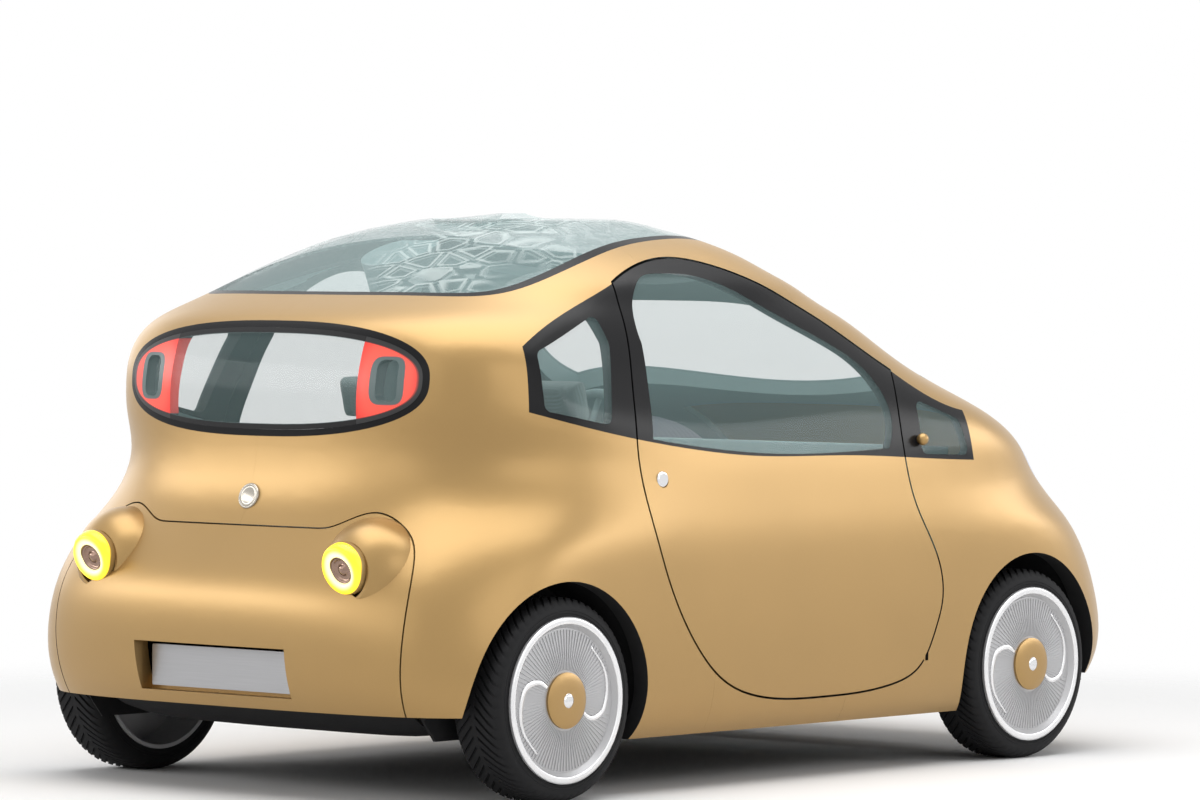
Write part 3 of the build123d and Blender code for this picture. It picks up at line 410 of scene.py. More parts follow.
def joined(name, meshes):
    """Several meshes as one."""
    made = bmesh.new()
    for mesh in meshes:
        made.from_mesh(mesh)
    whole = bpy.data.meshes.new(name)
    made.to_mesh(whole)
    made.free()
    return whole


def surface_of(node):
    """The surface of a CAD node, to cast lines at."""
    mesh = frame["nodes"][node].data
    points = [point.co.copy() for point in mesh.vertices]
    return BVHTree.FromPolygons(points, [tuple(face.vertices) for face in mesh.polygons])


def wheel_places():
    """Each wheel's corner name, body, middle, and side: -1 on the right and 1 on the left."""
    for end, axle in AXLES.items():
        for side_name, side in (("right", -1), ("left", 1)):
            corner = f"{end}_{side_name}"
            yield corner, f"wheel_{corner}", Vector((axle, side * HALF_TRACK, TYRE_RADIUS)), side


# Materials


def gold(finish, place, colours):
    """Satin gold with fine flakes: its colour and its roughness."""
    flakes = finish.noise(700.0, 2.0, place)
    clouds = finish.noise(3.0, 2.0, place)
    mix = flakes * 0.6 + clouds * 0.4
    shade = finish.blend(mix, colour(colours.paint, 0.88), colour(colours.paint, 1.12))
    return shade, 0.34 + 0.08 * flakes


def paint_finish(name, colours):
    """Metallic gold on every side."""
    finish = Finish(name, Metallic=PAINT_METALLIC, Coat_Roughness=0.3, Coat_Weight=0.3)
    shade, rough = gold(finish, finish.place(), colours)
    finish.set(Base_Color=shade, Roughness=rough)
    return finish.material


def arch_wall(finish, place, normal, axle):
    """1 on the inner walls of the arches over one axle."""
    from_axle = finish.vectors("SUBTRACT", place, (axle, 0.0, TYRE_RADIUS))
    flat = finish.vectors("MULTIPLY", from_axle, (1.0, 0.0, 1.0))
    reach = finish.vectors("LENGTH", flat, output=1)
    inwards = 1.0 - abs(finish.part(normal, "Y")).over(0.45, 0.1)
    return inwards * (1.0 - reach.over(ARCH_REACH, 0.002))


def lined_paint_finish(colours):
    """Metallic gold outside, lining inside, and black in the arches, on the flaps and below the lining."""
    finish = Finish("Lined_paint", Coat_Roughness=0.3, Coat_Weight=0.3)
    place = finish.place()
    normal = finish.normal()
    shade, rough = gold(finish, place, colours)
    length = finish.part(place, "X")
    height = finish.part(place, "Z")
    outwards = finish.vectors("SUBTRACT", place, BODY_MIDDLE)
    facing = finish.vectors("DOT_PRODUCT", normal, outwards, output=1)
    flap = length.over(FLAP_FROM_X, 0.002) * (1.0 - height.over(FLAP_TOP_Z, 0.002))
    painted = facing.over(-0.12, 0.03) * (1.0 - flap)
    for axle in AXLES.values():
        painted = painted * (1.0 - arch_wall(finish, place, normal, axle))
    inner = finish.blend(height.over(LINING_FOOT_Z, 0.02), colour(colours.black), colour(colours.lining))
    finish.set(
        Base_Color=finish.blend(painted, inner, shade),
        Metallic=painted * PAINT_METALLIC,
        Roughness=0.6 + painted * (rough - 0.6),
    )
    return finish.material


def glass_finish(colours):
    """Thin tinted glass with faint smears."""
    finish = Finish("Tinted_glass", Base_Color=colour(colours.glass), IOR=1.5, Alpha=GLASS_OPACITY)
    finish.set(Roughness=0.02 + 0.03 * finish.noise(6.0))
    return finish.material


def rear_border(finish, place):
    """1 on the black border round the rear window and 0 inside it."""
    across = finish.part(place, "Y")
    height = finish.part(place, "Z") - REAR_OVAL_Z
    wide = abs(across) / REAR_OVAL[0]
    tall = abs(height) / REAR_OVAL[1]
    reach = wide**REAR_OVAL_ROUNDNESS + tall**REAR_OVAL_ROUNDNESS
    return reach.over(1.0, 0.03)


def rear_glass_finish(colours):
    """Tinted glass with a printed black border."""
    finish = Finish("Rear_glass", IOR=1.5, Specular_IOR_Level=0.3)
    place = finish.place()
    border = rear_border(finish, place)
    finish.set(
        Base_Color=finish.blend(border, colour(colours.glass), colour(colours.black)),
        Alpha=GLASS_OPACITY + (1.0 - GLASS_OPACITY) * border,
        Roughness=0.02 + 0.03 * finish.noise(6.0, place=place) + 0.15 * border,
    )
    return finish.material


def roof_glass_finish(colours):
    """Tinted dome glass with a plain print of pale angular loops in patches."""
    finish = Finish("Roof_glass", IOR=1.5)
    place = finish.place()
    cells = finish.node(
        "ShaderNodeTexVoronoi",
        {"feature": "DISTANCE_TO_EDGE"},
        Vector=place,
        Scale=10.0,
        Randomness=0.6,
    )
    loops = cells.over(0.07, 0.03) * (1.0 - cells.over(0.16, 0.04))
    patch = finish.noise(2.2, 1.0, place).over(0.5, 0.12)
    print_mask = loops * patch
    finish.set(
        Base_Color=finish.blend(print_mask, colour(colours.glass), (0.6, 0.7, 0.69, 1.0)),
        Alpha=0.3 + 0.2 * print_mask,
        Roughness=0.03 + 0.4 * print_mask,
    )
    return finish.material


def headlamp_finish():
    """A faintly lit pale lens with fine flutes."""
    finish = Finish("Headlamp_glass", Roughness=0.3, Emission_Strength=0.1)
    base = (0.56, 0.58, 0.66)
    glow = (0.8, 0.82, 1.0)
    flutes = finish.waves("Y", 30.0, 0.0)
    finish.set(
        Base_Color=finish.blend(flutes, colour(base, 0.8), colour(base)),
        Emission_Color=finish.blend(flutes, colour(glow, 0.7), colour(glow)),
    )
    finish.bump(flutes, 0.3, 0.002)
    return finish.material


def tail_lamp_finish(colours):
    """A lit red ring round a darker grey green middle that is painted shade of the hole behind it, with a
    bright crown along the ring and a black border.
    """
    finish = Finish("Tail_lamp_red", Roughness=0.3, Emission_Strength=0.45)
    place = finish.place()
    across = finish.part(place, "Y")
    height = finish.part(place, "Z")
    wide = abs(abs(across) - TAIL_LAMP_MIDDLE[0]) / TAIL_LAMP_HOLE[0]
    tall = abs(height - TAIL_LAMP_MIDDLE[1]) / TAIL_LAMP_HOLE[1]
    reach = (wide**4 + tall**4) ** 0.25
    ring = reach.over(1.0, 0.04)
    crown = ring * (1.0 - reach.over(1.7, 0.5))
    red = finish.blend(crown, colour(colours.tail, 0.8), (0.95, 0.09, 0.06, 1.0))
    # The middle is the lining at half brightness: painted shade of the dark hole behind the lamp
    lens = finish.blend(ring, colour(colours.lining, 0.5), red)
    border = rear_border(finish, place)
    finish.set(
        Base_Color=finish.blend(border, lens, colour(colours.black)),
        Emission_Color=finish.blend(ring * (1.0 - border), (0.0, 0.0, 0.0, 1.0), red),
    )
    return finish.material


def ring_lamp_finish(colours):
    """A lit yellow ring that is paler towards its middle, with a gold outer wall."""
    finish = Finish("Ring_lamp_yellow", Roughness=0.3, Emission_Strength=1.0)
    tilt = radians(RING_LAMP_TILT)
    facing = finish.vectors("DOT_PRODUCT", finish.normal(), (-cos(tilt), 0.0, sin(tilt)), output=1)
    lit = facing.over(0.3, 0.1)
    middle = (1.0, RING_LAMP_PLACE[1], RING_LAMP_PLACE[2])
    folded = finish.vectors("ABSOLUTE", finish.place())
    across = finish.vectors("MULTIPLY", finish.vectors("SUBTRACT", folded, middle), (0.0, 1.0, 1.0))
    reach = finish.vectors("LENGTH", across, output=1)
    glow = finish.blend(reach.over(0.048, 0.008), (1.0, 0.93, 0.5, 1.0), colour(colours.ring))
    finish.set(
        Base_Color=finish.blend(lit, colour(colours.paint), glow),
        Emission_Color=finish.blend(lit, (0.0, 0.0, 0.0, 1.0), glow),
    )
    return finish.material


def plain_finish(name, base, metallic, roughness, grain, grain_height, coat=0.0, shine=0.5):
    """A finish with grain of a given pitch, in its shade, its roughness and its surface."""
    finish = Finish(name, Metallic=metallic, Coat_Weight=coat, Specular_IOR_Level=shine)
    grains = finish.noise(grain, 4.0)
    clouds = finish.noise(4.0, 3.0)
    finish.set(
        Base_Color=finish.blend(0.5 * grains + 0.5 * clouds, colour(base, 0.82), colour(base, 1.18)),
        Roughness=roughness - 0.06 + 0.12 * grains,
    )
    finish.bump(grains, 0.35, grain_height)
    return finish.material


def brushed_finish(name, base, roughness):
    """Silver brushed along the car's width."""
    finish = Finish(name, Metallic=0.9)
    stretched = finish.node("ShaderNodeMapping", Vector=finish.place(), Scale=(900.0, 6.0, 900.0))
    lines = finish.noise(1.0, 2.0, stretched)
    finish.set(
        Base_Color=finish.blend(lines, colour(base, 0.85), colour(base, 1.1)),
        Roughness=roughness + 0.1 * lines,
    )
    finish.bump(lines, 0.1, 0.0003)
    return finish.material


def cloth_finish(colours):
    """Woven seat cloth: two crossed waves."""
    finish = Finish("Woven_cloth", Sheen_Weight=0.3)
    weave = finish.waves("X", 130.0, 0.4) * 0.5 + finish.waves("Y", 130.0, 0.4) * 0.5
    finish.set(
        Base_Color=finish.blend(weave, colour(colours.cloth, 0.75), colour(colours.cloth, 1.15)),
        Roughness=0.8 + 0.1 * weave,
    )
    finish.bump(weave, 0.5, 0.001)
    return finish.material


def make_finishes(colours):
    """Every finish by name; the names of the record's slots are among them."""
    return {
        "paint": paint_finish("Body_paint", colours),
        "lined_paint": lined_paint_finish(colours),
        "cap_paint": paint_finish("Cap_paint", colours),
        "black_trim": plain_finish("Black_trim", colours.black, 0.0, 0.24, 900.0, 0.0001, shine=0.12),
        "glass": glass_finish(colours),
        "rear_glass": rear_glass_finish(colours),
        "roof_glass": roof_glass_finish(colours),
        "lamp_red": tail_lamp_finish(colours),
        "lamp_amber": ring_lamp_finish(colours),
        "lamp_clear": headlamp_finish(),
        "chrome": plain_finish("Chrome", (0.75, 0.75, 0.76), 1.0, 0.1, 500.0, 0.0001),
        "plate": brushed_finish("Brushed_plate", (0.4, 0.4, 0.41), 0.3),
        "underbody": plain_finish("Underbody", (0.014, 0.014, 0.015), 0.0, 0.75, 160.0, 0.001, shine=0.2),
        "steel": plain_finish("Dark_steel", (0.16, 0.16, 0.17), 0.9, 0.45, 300.0, 0.0004),
        "seat": cloth_finish(colours),
        "cabin_trim": plain_finish("Cabin_trim", colours.lining, 0.0, 0.62, 420.0, 0.0006),
        "tyre": plain_finish("Tyre_rubber", colours.rubber, 0.0, 0.68, 320.0, 0.0006, shine=0.2),
        "wheel": plain_finish("Wheel_silver", colours.silver, 0.4, 0.42, 600.0, 0.0003),
        "bright": plain_finish("Bright_trim", (0.86, 0.86, 0.87), 0.6, 0.22, 500.0, 0.0001, 0.4),
        "badge": plain_finish("Satin_badge", (0.42, 0.39, 0.34), 0.9, 0.25, 500.0, 0.0001),
        "lens": plain_finish("Bronze_lens", (0.3, 0.19, 0.14), 0.8, 0.2, 400.0, 0.0002, 0.6),
        "card": plain_finish("Door_card", colours.card, 0.0, 0.6, 380.0, 0.0006),
    }


# Filled by the finishes step for the steps after it
finishes = {}


# Operators


class CAR_OT_stage(bpy.types.Operator):
    """Makes the floor, the lights, the white surround and the camera"""

    bl_idname = "car.stage"
    bl_label = "Studio and camera"

    def execute(self, context):
        scene = context.scene
        scene.view_settings.view_transform = "Standard"
        self.make_floor(scene)
        self.make_world(scene)
        self.make_lights(scene)
        self.make_camera(scene)
        return {"FINISHED"}

    def make_floor(self, scene):
        """A pale round floor that fades out into the white surround."""
        steps = 96
        turns = [2 * pi * step / steps for step in range(steps)]
        points = [(FLOOR_RADIUS * cos(turn), FLOOR_RADIUS * sin(turn), 0.0) for turn in turns]
        mesh = bpy.data.meshes.new("Floor")
        mesh.from_pydata(points, [], [tuple(range(steps))])
        material = bpy.data.materials.new("Floor_white")
        material.use_nodes = True
        tree = material.node_tree
        tree.nodes.clear()
        place = add_node(tree, "ShaderNodeTexCoord", output="Object")
        reach = add_node(tree, "ShaderNodeVectorMath", {"operation": "LENGTH"}, output=1, Vector=place)
        fade = reach.over((FLOOR_SOLID + FLOOR_CLEAR) / 2, (FLOOR_CLEAR - FLOOR_SOLID) / 2)
        solid = add_node(tree, "ShaderNodeBsdfDiffuse", Color=(0.93, 0.93, 0.93, 1.0))
        clear = add_node(tree, "ShaderNodeBsdfTransparent")
        mixed = add_node(tree, "ShaderNodeMixShader", at={0: fade, 1: solid, 2: clear})
        feed(tree, tree.nodes.new("ShaderNodeOutputMaterial").inputs["Surface"], mixed)
        mesh.materials.append(material)
        floor = bpy.data.objects.new("Floor", mesh)
        scene.collection.objects.link(floor)

    def make_world(self, scene):
        """White where it is seen, and softer where it lights the car."""
        world = bpy.data.worlds.new("Studio")
        scene.world = world
        world.use_nodes = True
        tree = world.node_tree
        background = tree.nodes["Background"]
        background.inputs["Color"].default_value = (1.0, 1.0, 1.0, 1.0)
        camera, through, glossy = (
            add_node(tree, "ShaderNodeLightPath", output=f"Is {ray} Ray")
            for ray in ("Camera", "Transmission", "Glossy")
        )
        seen = camera.larger(through).larger(glossy)
        feed(tree, background.inputs["Strength"], SURROUND_LIGHT + (1.0 - SURROUND_LIGHT) * seen)

    def make_lights(self, scene):
        """Large soft panels all round, and two low strips that shine along the side and the tail."""
        # Name, place, point it shines at, width and height in metres, and power in watts
        panels = (
            ("Overhead", (-0.4, -0.6, 4.4), (0.0, 0.0, 0.4), (6.0, 4.2), 220.0),
            ("Right", (-1.0, -6.0, 2.4), (0.0, 0.0, 0.6), (4.0, 2.8), 35.0),
            ("Behind", (-6.0, 0.5, 2.2), (0.0, 0.0, 0.7), (3.5, 2.4), 25.0),
            ("Left", (0.5, 6.0, 2.6), (0.0, 0.0, 0.6), (4.0, 2.8), 40.0),
            ("Front_right", (5.2, -4.7, 2.6), (0.0, 0.0, 0.6), (6.0, 1.2), 110.0),
            ("Rear_left", (-5.2, 4.7, 2.6), (0.0, 0.0, 0.6), (5.0, 1.2), 90.0),
        )
        for name, place, aim, size, power in panels:
            light = bpy.data.lights.new(name, "AREA")
            light.shape = "RECTANGLE"
            light.size = size[0]
            light.size_y = size[1]
            light.energy = power
            lamp = bpy.data.objects.new(name, light)
            lamp.location = place
            lamp.rotation_euler = (Vector(aim) - Vector(place)).to_track_quat("-Z", "Y").to_euler()
            scene.collection.objects.link(lamp)

    def make_camera(self, scene):
        """The camera at the photograph's place and angle."""
        yaw = radians(CAMERA_YAW)
        pitch = radians(CAMERA_PITCH)
        roll = radians(CAMERA_ROLL)
        forward = Vector((cos(pitch) * cos(yaw), cos(pitch) * sin(yaw), sin(pitch)))
        level = Vector((sin(yaw), -cos(yaw), 0.0))
        upright = level.cross(forward)
        right = cos(roll) * level + sin(roll) * upright
        up = cos(roll) * upright - sin(roll) * level
        data = bpy.data.cameras.new("Camera")
        data.sensor_width = 36.0
        data.lens = CAMERA_LENS
        data.clip_end = 200.0
        camera = bpy.data.objects.new("Camera", data)
        turn = Matrix((right, up, -forward)).transposed()
        camera.matrix_world = Matrix.Translation(CAMERA_PLACE) @ turn.to_4x4()
        scene.collection.objects.link(camera)
        scene.camera = camera


class CAR_OT_finishes(bpy.types.Operator):
    """Gives every CAD piece its finish"""

    bl_idname = "car.finishes"
    bl_label = "Finishes"

    def execute(self, context):
        finishes.update(make_finishes(context.scene.car_colours))
        chosen = {part["node"]: part["material_slot"] for part in frame["record"]["subparts"]}
        chosen.update(NODE_FINISHES)
        for node, piece in frame["nodes"].items():
            piece.data.materials.clear()
            piece.data.materials.append(finishes[chosen[node]])
        return {"FINISHED"}


class CAR_OT_tyres(bpy.types.Operator):
    """Makes the tyres with slanted tread grooves and a ridged side wall"""

    bl_idname = "car.tyres"
    bl_label = "Tyres"

    # Points down the side wall to the bead: radius, and how far in from the tyre's side, in metres
    side_wall = (
        (0.2345, 0.0012),
        (0.233, 0.0),
        (0.2285, 0.0),
        (0.227, 0.0018),
        (0.2215, 0.001),
        (BEAD_RADIUS + 0.001, 0.002),
        (BEAD_RADIUS, 0.006),
    )

    # Points round one block and the groove after it: share of the pitch, and 1 where it is sunk
    block = ((0.0, 0), (0.64, 0), (0.7, 1), (0.94, 1))

    def profile(self):
        """Half of the tyre's section from its middle to its bead: (radius, y, share of groove depth)."""
        flat = TYRE_HALF_WIDTH - SHOULDER
        rows = [(TYRE_RADIUS, along, 0) for along in (0.0, CENTRE_RIB)]
        rows += [(TYRE_RADIUS, along, 1) for along in (CENTRE_RIB + 0.0005, 0.02, 0.034, flat)]
        for step in range(1, 7):
            turn = radians(15 * step)
            radius = TYRE_RADIUS - SHOULDER + SHOULDER * cos(turn)
            rows.append((radius, flat + SHOULDER * sin(turn), max(0.0, 1 - step / 4)))
        return rows + [(radius, TYRE_HALF_WIDTH - sunk, 0) for radius, sunk in self.side_wall]

    def execute(self, context):
        sizes = context.scene.car_sizes
        half = self.profile()
        section = [(radius, -along, share) for radius, along, share in reversed(half[1:])] + half
        period = 2 * pi / sizes.tread_blocks
        count = sizes.tread_blocks * len(self.block)
        faces = grid_faces(len(section), count, closed_rows=True, closed_columns=True)
        for corner, body, middle, _ in wheel_places():
            points = []
            for radius, along, share in section:
                lean = sizes.tread_slant * min(abs(along) / TYRE_HALF_WIDTH, 1.0)
                for number in range(sizes.tread_blocks):
                    for part, sunk in self.block:
                        turn = period * (number + part) + lean
                        out = radius - sizes.tread_depth * share * sunk
                        points.append(middle + Vector((out * cos(turn), along, out * sin(turn))))
            mesh = mesh_from(f"Tyre_{corner}", points, faces)
            mesh.set_sharp_from_angle(angle=radians(32))
            tyre = add_piece(f"Treaded_tyre_{corner}", mesh, finishes["tyre"], body)
            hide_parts(f"tyre_{corner}")
        return {"FINISHED"}


class CAR_OT_wheel_ribs(bpy.types.Operator):
    """Makes the fine ribs on the wheel discs"""

    bl_idname = "car.wheel_ribs"
    bl_label = "Wheel ribs"

    def rib_tree(self):
        """A ring of bars, each leaning with the dished disc."""
        tree = bpy.data.node_groups.new("Wheel_ribs", "GeometryNodeTree")
        inputs = (
            ("Count", "NodeSocketInt"),
            ("Middle radius", "NodeSocketFloat"),
            ("Bar size", "NodeSocketVector"),
            ("Lean", "NodeSocketFloat"),
        )
        for name, kind in inputs:
            tree.interface.new_socket(name, in_out="INPUT", socket_type=kind)
        tree.interface.new_socket("Geometry", in_out="OUTPUT", socket_type="NodeSocketGeometry")
        given = tree.nodes.new("NodeGroupInput")
        count, middle, size, lean = (Value(tree, given.outputs[name]) for name, _ in inputs)
        ring = add_node(tree, "GeometryNodeMeshCircle", Vertices=count, Radius=middle)
        bar = add_node(tree, "GeometryNodeMeshCube", Size=size)
        index = add_node(tree, "GeometryNodeInputIndex")
        turn = 2 * pi * index / count
        rotation = add_node(tree, "ShaderNodeCombineXYZ", Y=lean, Z=turn)
        bars = add_node(tree, "GeometryNodeInstanceOnPoints", Points=ring, Instance=bar, Rotation=rotation)
        ribs = add_node(tree, "GeometryNodeRealizeInstances", Geometry=bars)
        feed(tree, tree.nodes.new("NodeGroupOutput").inputs["Geometry"], ribs)
        return tree

    def execute(self, context):
        sizes = context.scene.car_sizes
        tree = self.rib_tree()
        inner = CAP_RADIUS + RIB_INNER_GAP
        outer = DISC_EDGE - RIB_OUTER_GAP
        middle_radius = (inner + outer) / 2
        values = {
            "Count": sizes.rib_count,
            "Middle radius": middle_radius,
            "Bar size": (outer - inner, sizes.rib_width, sizes.rib_height * 2),
            "Lean": DISC_DISH / (DISC_EDGE - CAP_RADIUS),
        }
        maker = bpy.data.objects.new("Rib_maker", bpy.data.meshes.new("Rib_maker"))
        context.scene.collection.objects.link(maker)
        modifier = maker.modifiers.new("Ribs", "NODES")
        modifier.node_group = tree
        for item in tree.interface.items_tree:
            if item.in_out == "INPUT":
                modifier[item.identifier] = values[item.name]
        ready = maker.evaluated_get(context.evaluated_depsgraph_get())
        ribs = bpy.data.meshes.new_from_object(ready)
        bpy.data.objects.remove(maker)
        face = TYRE_HALF_WIDTH - DISC_DISH * (middle_radius - CAP_RADIUS) / (DISC_EDGE - CAP_RADIUS)
        for corner, body, middle, side in wheel_places():
            mesh = ribs.copy()
            place = Matrix.Translation(middle + Vector((0.0, side * face, 0.0)))
            mesh.transform(place @ Matrix.Rotation(radians(-90 * side), 4, "X"))
            add_piece(f"Wheel_ribs_{corner}", mesh, finishes["wheel"], body)
        return {"FINISHED"}


class CAR_OT_wheel_trim(bpy.types.Operator):
    """Makes each wheel's bright rim ring, swirl lines and plain cap button"""

    bl_idname = "car.wheel_trim"
    bl_label = "Wheel trim"

    # Points along a right wheel's swirl line: radius in metres, and degrees turned up from straight ahead
    swirl = ((0.08, 153), (0.108, 152), (0.134, 158), (0.158, 169), (0.171, 189), (0.174, 208), (0.172, 233))

    # Section of a right wheel's rim ring: radius, and place along the axle from its middle, in metres
    rim_section = (
        (0.2, -0.087),
        (0.2005, -0.0902),
        (0.203, -0.0915),
        (0.215, -0.0915),
        (0.218, -0.09),
        (0.2185, -0.087),
    )

    # Sections of the cap's button and the collar round it: radius and height over the cap, in metres
    button_section = ((0.0, 0.003), (0.012, 0.0025), (0.019, 0.0005), (0.0215, -0.004))
    collar_section = ((0.024, -0.004), (0.0245, 0.0), (0.028, 0.0), (0.029, -0.004))

    def path(self):
        """Points along the swirl line as a smooth curve through its given points."""
        flat = []
        for radius, degrees in self.swirl:
            turn = radians(degrees)
            flat.append(Vector((radius * cos(turn), radius * sin(turn))))
        flat = [2 * flat[0] - flat[1]] + flat + [2 * flat[-1] - flat[-2]]
        points = []
        for start in range(1, len(flat) - 2):
            before, first, second, after = flat[start - 1 : start + 3]
            bend = 2 * before - 5 * first + 4 * second - after
            twist = 3 * first - before - 3 * second + after
            for step in range(SWIRL_STEPS):
                part = step / SWIRL_STEPS
                points.append(first + (part * (second - before) + part**2 * bend + part**3 * twist) / 2)
        return points + [flat[-2]]

    def swirl_mesh(self, width, half_turn):
        """One tapered raised line on the disc, built facing -Y."""
        path = self.path()
        section = ((-1.0, SWIRL_ROOT), (-0.75, SWIRL_RISE), (0.75, SWIRL_RISE), (1.0, SWIRL_ROOT))
        points = []
        for place, point in enumerate(path):
            ahead = path[min(place + 1, len(path) - 1)] - path[max(place - 1, 0)]
            across = Vector((-ahead.y, ahead.x)).normalized()
            share = place / (len(path) - 1)
            half = width / 2 * (0.35 + 0.65 * sin(pi * min(1.0, 0.12 + share * 0.95)))
            for reach, rise in section:
                flat = point + across * half * reach
                if half_turn:
                    flat = -flat
                dish = DISC_DISH * (flat.length - CAP_RADIUS) / (DISC_EDGE - CAP_RADIUS)
                points.append((flat.x, -(TYRE_HALF_WIDTH - dish + rise), flat.y))
        faces = grid_faces(len(path), 4, closed_columns=True)
        faces += [(0, 1, 2, 3), tuple(len(points) - 4 + corner for corner in (3, 2, 1, 0))]
        return mesh_from("Swirl", points, faces)

    def execute(self, context):
        sizes = context.scene.car_sizes
        face = TYRE_HALF_WIDTH + CAP_RISE
        button_profile = [(radius, -face - rise) for radius, rise in self.button_section]
        collar_profile = [(radius, -face - rise) for radius, rise in self.collar_section]
        ring = turned_mesh("Rim_ring", self.rim_section, 96, True)
        button = turned_mesh("Cap_button", button_profile, 40, False)
        collar = turned_mesh("Cap_collar", collar_profile, 40, True)
        swirls = [self.swirl_mesh(sizes.swirl_width, half_turn) for half_turn in (False, True)]
        bright = joined("Wheel_trim", [ring] + swirls)
        centre = joined("Cap_trim", [button, collar])
        for corner, body, middle, side in wheel_places():
            for name, source, finish, slot in (
                ("Wheel_trim", bright, "bright", "wheel"),
                ("Cap_trim", centre, "chrome", "chrome"),
            ):
                mesh = source.copy()
                if side > 0:
                    mesh.transform(Matrix.Rotation(pi, 4, "Z"))
                mesh.transform(Matrix.Translation(middle))
                add_piece(f"{name}_{corner}", mesh, finishes[finish], body)
        return {"FINISHED"}


class CAR_OT_seats(bpy.types.Operator):
    """Makes the padded seats: cushion, back and head rest with sewn channels"""

    bl_idname = "car.seats"
    bl_label = "Seats"

    # Each pad: name, middle, direction along it, half its length, width and thickness, and its channels
    pads = (
        ("Cushion", (-0.17, 0.0, 0.385), (1.0, 0.0, 0.06), (0.215, 0.225, 0.088), (-0.35, 0.0, 0.35)),
        ("Backrest", (-0.44, 0.0, 0.69), (-0.15, 0.0, 0.62), (0.27, 0.215, 0.06), (-0.4, -0.05, 0.3)),
        ("Head_rest", (-0.528, 0.0, 1.035), (-0.15, 0.0, 0.62), (0.055, 0.12, 0.045), ()),
    )

    def upper_fullness(self, u, v, channels):
        """How full a pad's upper side is: fuller at its sides, less in the channels across and along it."""
        fullness = PAD_FULLNESS * (1 + 0.22 * max(0.0, abs(v) - 0.55) / 0.45)
        if abs(v) < 0.62:
            for place in channels:
                fullness -= 0.14 * max(0.0, 1 - abs(u - place) / 0.035)
        if abs(u) < 0.93:
            fullness -= 0.16 * max(0.0, 1 - abs(abs(v) - 0.64) / 0.05)
        return fullness

    def pad(self, name, middle, along, half_sizes, channels):
        """A crowned closed pad whose sides pull in, with sewn channels on its upper side."""
        length, width, thick = half_sizes
        along = Vector(along).normalized()
        across = Vector((0.0, 1.0, 0.0))
        outwards = along.cross(across).normalized()
        rows, columns = 61, 41
        points = []
        for upper in (1, -1):
            for row in range(rows):
                u = -1 + 2 * row / (rows - 1)
                waist = 1 - 0.025 * (1 - u * u)
                for column in range(columns):
                    v = -1 + 2 * column / (columns - 1)
                    crown = max(0.0, (1 - abs(u) ** 5) * (1 - abs(v) ** 5)) ** 0.36
                    fullness = self.upper_fullness(u, v, channels) if upper > 0 else PAD_FULLNESS
                    flat = middle + along * length * u + across * width * v * waist
                    points.append(flat + outwards * thick * crown * fullness * upper)
        return mesh_from(name, points, layer_faces(rows, columns))

    def execute(self, context):
        for side_name, side in (("right", -1), ("left", 1)):
            for name, middle, along, half_sizes, channels in self.pads:
                placed = Vector(middle) + Vector((0.0, side * SEAT_Y, 0.0))
                mesh = self.pad(name, placed, along, half_sizes, channels)
                piece = add_piece(f"{name}_{side_name}", mesh, finishes["seat"], "body")
                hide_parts(f"seat_{side_name}")
        return {"FINISHED"}


class CAR_OT_door_cards(bpy.types.Operator):
    """Makes a beige pad on the inner side of each door"""

    bl_idname = "car.door_cards"
    bl_label = "Door cards"

    def execute(self, context):
        depth = context.scene.car_sizes.card_depth
        rows, columns = 25, 49
        for side_name, side in (("right", -1), ("left", 1)):
            surface = surface_of(f"door_panel_{side_name}")
            back = []
            front = []
            for row in range(rows):
                v = -1 + 2 * row / (rows - 1)
                for column in range(columns):
                    u = -1 + 2 * column / (columns - 1)
                    x = CARD_MIDDLE[0] + CARD_HALF[0] * u * (1 - 0.18 * min(v, 0.0) ** 2)
                    z = CARD_MIDDLE[1] + CARD_HALF[1] * v * (1 - 0.1 * u * u)
                    hit = surface.ray_cast(Vector((x, 0.0, z)), Vector((0.0, side, 0.0)))[0]
                    if hit is None:
                        raise RuntimeError(f"The door card on the {side_name} lies outside its door")
                    crown = max(0.0, (1 - abs(u) ** 8) * (1 - abs(v) ** 6)) ** 0.4
                    rest = ARM_REST * max(0.0, 1 - ((v - 0.25) / 0.28) ** 2) * (1 - u**4)
                    back.append(Vector((x, hit.y - side * CARD_GAP, z)))
                    front.append(Vector((x, hit.y - side * (CARD_GAP + depth * crown + rest), z)))
            mesh = mesh_from(f"Door_card_{side_name}", back + front, layer_faces(rows, columns))
            add_piece(f"Door_card_{side_name}", mesh, finishes["card"], f"door_{side_name}")
        return {"FINISHED"}


class CAR_OT_badge(bpy.types.Operator):
    """Makes the plain satin disc on the tail"""

    bl_idname = "car.badge"
    bl_label = "Tail disc"

    def execute(self, context):
        radius = context.scene.car_sizes.badge_radius
        # A line just beside the middle, because the shell has a seam along its middle
        start = Vector((-2.0, 0.004, BADGE_Z))
        place, normal, *_ = surface_of("body_shell").ray_cast(start, Vector((1.0, 0.0, 0.0)))
        if place is None:
            raise RuntimeError("The tail has no place for its disc")
        place.y = 0.0
        profile = [
            (0.0, 0.0075),
            (radius * 0.6, 0.0065),
            (radius * 0.78, 0.004),
            (radius * 0.82, 0.0065),
            (radius * 0.94, 0.0065),
            (radius, 0.003),
            (radius, -0.004),
        ]
        mesh = turned_mesh("Tail_disc", profile, 56, False)
        turn = Vector((0.0, 1.0, 0.0)).rotation_difference(normal).to_matrix()
        mesh.transform(Matrix.Translation(place) @ turn.to_4x4())
        add_piece("Tail_disc", mesh, finishes["badge"], "body")
        return {"FINISHED"}


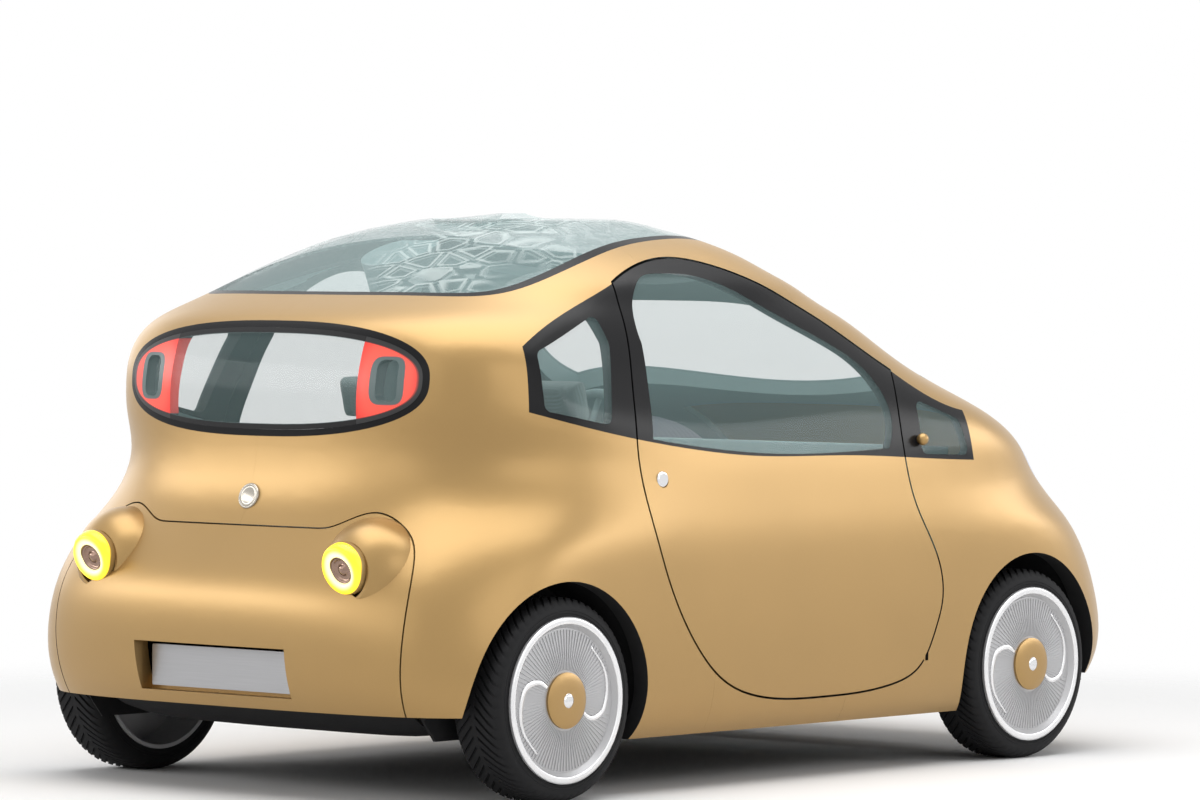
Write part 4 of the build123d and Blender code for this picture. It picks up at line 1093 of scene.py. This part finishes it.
class CAR_OT_ring_lamps(bpy.types.Operator):
    """Makes the glowing rings and their bronze centres, tilted as the tail is"""

    bl_idname = "car.ring_lamps"
    bl_label = "Ring lamps"

    # Sections of the ring and of its centre: radius and place along the lamp's axis, in metres
    ring_section = (
        (0.036, -0.03),
        (0.036, 0.002),
        (0.039, 0.008),
        (0.052, 0.011),
        (0.063, 0.008),
        (0.069, 0.0),
        (0.071, -0.012),
        (0.071, -0.03),
    )
    centre_section = (
        (0.0, 0.004),
        (0.01, 0.003),
        (0.013, -0.004),
        (0.022, -0.008),
        (0.031, -0.002),
        (0.034, 0.004),
        (0.0355, 0.002),
        (0.0355, -0.03),
        (0.0, -0.03),
    )

    def execute(self, context):
        tilt = Matrix.Rotation(radians(-RING_LAMP_TILT), 4, "Y") @ Matrix.Rotation(radians(90), 4, "Z")
        ring = turned_mesh("Ring", self.ring_section, 72, True)
        centre = turned_mesh("Centre", self.centre_section, 56, False)
        x, y, z = RING_LAMP_PLACE
        for side_name, side in (("right", -1), ("left", 1)):
            place = Matrix.Translation((x, side * y, z)) @ tilt
            for name, source, finish, slot, node in (
                ("Ring_lamp", ring, "lamp_amber", "lamp_amber", "ring_lamps"),
                ("Ring_lamp_centre", centre, "lens", "chrome", "ring_lamp_centres"),
            ):
                mesh = source.copy()
                mesh.transform(place)
                piece = add_piece(f"{name}_{side_name}", mesh, finishes[finish], "body")
                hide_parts(node)
        return {"FINISHED"}


class CAR_OT_rear_tray(bpy.types.Operator):
    """Makes the black tray under the tail"""

    bl_idname = "car.rear_tray"
    bl_label = "Rear tray"

    def execute(self, context):
        points = []
        for lift in (0.0, TRAY_THICKNESS):
            for x, z, half_width in TRAY_ROWS:
                for column in range(TRAY_COLUMNS):
                    share = -1 + 2 * column / (TRAY_COLUMNS - 1)
                    points.append((x, half_width * share, z + lift + TRAY_EDGE_LIFT * abs(share) ** 5))
        rows = len(TRAY_ROWS)
        count = rows * TRAY_COLUMNS
        faces = layer_faces(rows, TRAY_COLUMNS)
        border = list(range(TRAY_COLUMNS))
        border += [row * TRAY_COLUMNS + TRAY_COLUMNS - 1 for row in range(1, rows)]
        border += [count - 1 - column for column in range(1, TRAY_COLUMNS)]
        border += [row * TRAY_COLUMNS for row in range(rows - 2, 0, -1)]
        for first, second in zip(border, border[1:] + border[:1]):
            faces.append((first, second, second + count, first + count))
        mesh = mesh_from("Rear_tray", points, faces)
        mesh.set_sharp_from_angle(angle=radians(30))
        add_piece("Rear_tray", mesh, finishes["underbody"], "body")
        return {"FINISHED"}


class CAR_PT_panel(bpy.types.Panel):
    """Lists the car's settings and the steps that make its pieces"""

    bl_idname = "CAR_PT_panel"
    bl_label = "City car"
    bl_space_type = "VIEW_3D"
    bl_region_type = "UI"
    bl_category = "City car"

    def draw(self, context):
        for settings in (context.scene.car_colours, context.scene.car_sizes):
            for name in settings.__annotations__:
                self.layout.prop(settings, name)
        for step in STEPS:
            self.layout.operator(step.bl_idname)


STEPS = (
    CAR_OT_stage,
    CAR_OT_finishes,
    CAR_OT_tyres,
    CAR_OT_wheel_ribs,
    CAR_OT_wheel_trim,
    CAR_OT_seats,
    CAR_OT_door_cards,
    CAR_OT_badge,
    CAR_OT_ring_lamps,
    CAR_OT_rear_tray,
)
CLASSES = (CarColours, CarSizes) + STEPS + (CAR_PT_panel,)


def register():
    """Adds the classes and the settings."""
    for made in CLASSES:
        bpy.utils.register_class(made)
    bpy.types.Scene.car_colours = bpy.props.PointerProperty(type=CarColours)
    bpy.types.Scene.car_sizes = bpy.props.PointerProperty(type=CarSizes)


def unregister():
    """Takes the settings and the classes away."""
    del bpy.types.Scene.car_sizes
    del bpy.types.Scene.car_colours
    for made in reversed(CLASSES):
        bpy.utils.unregister_class(made)


def main():
    """Makes every piece in order."""
    register()
    for step in STEPS:
        group, name = step.bl_idname.split(".")
        getattr(getattr(bpy.ops, group), name)()


if __name__ == "__main__":
    main()
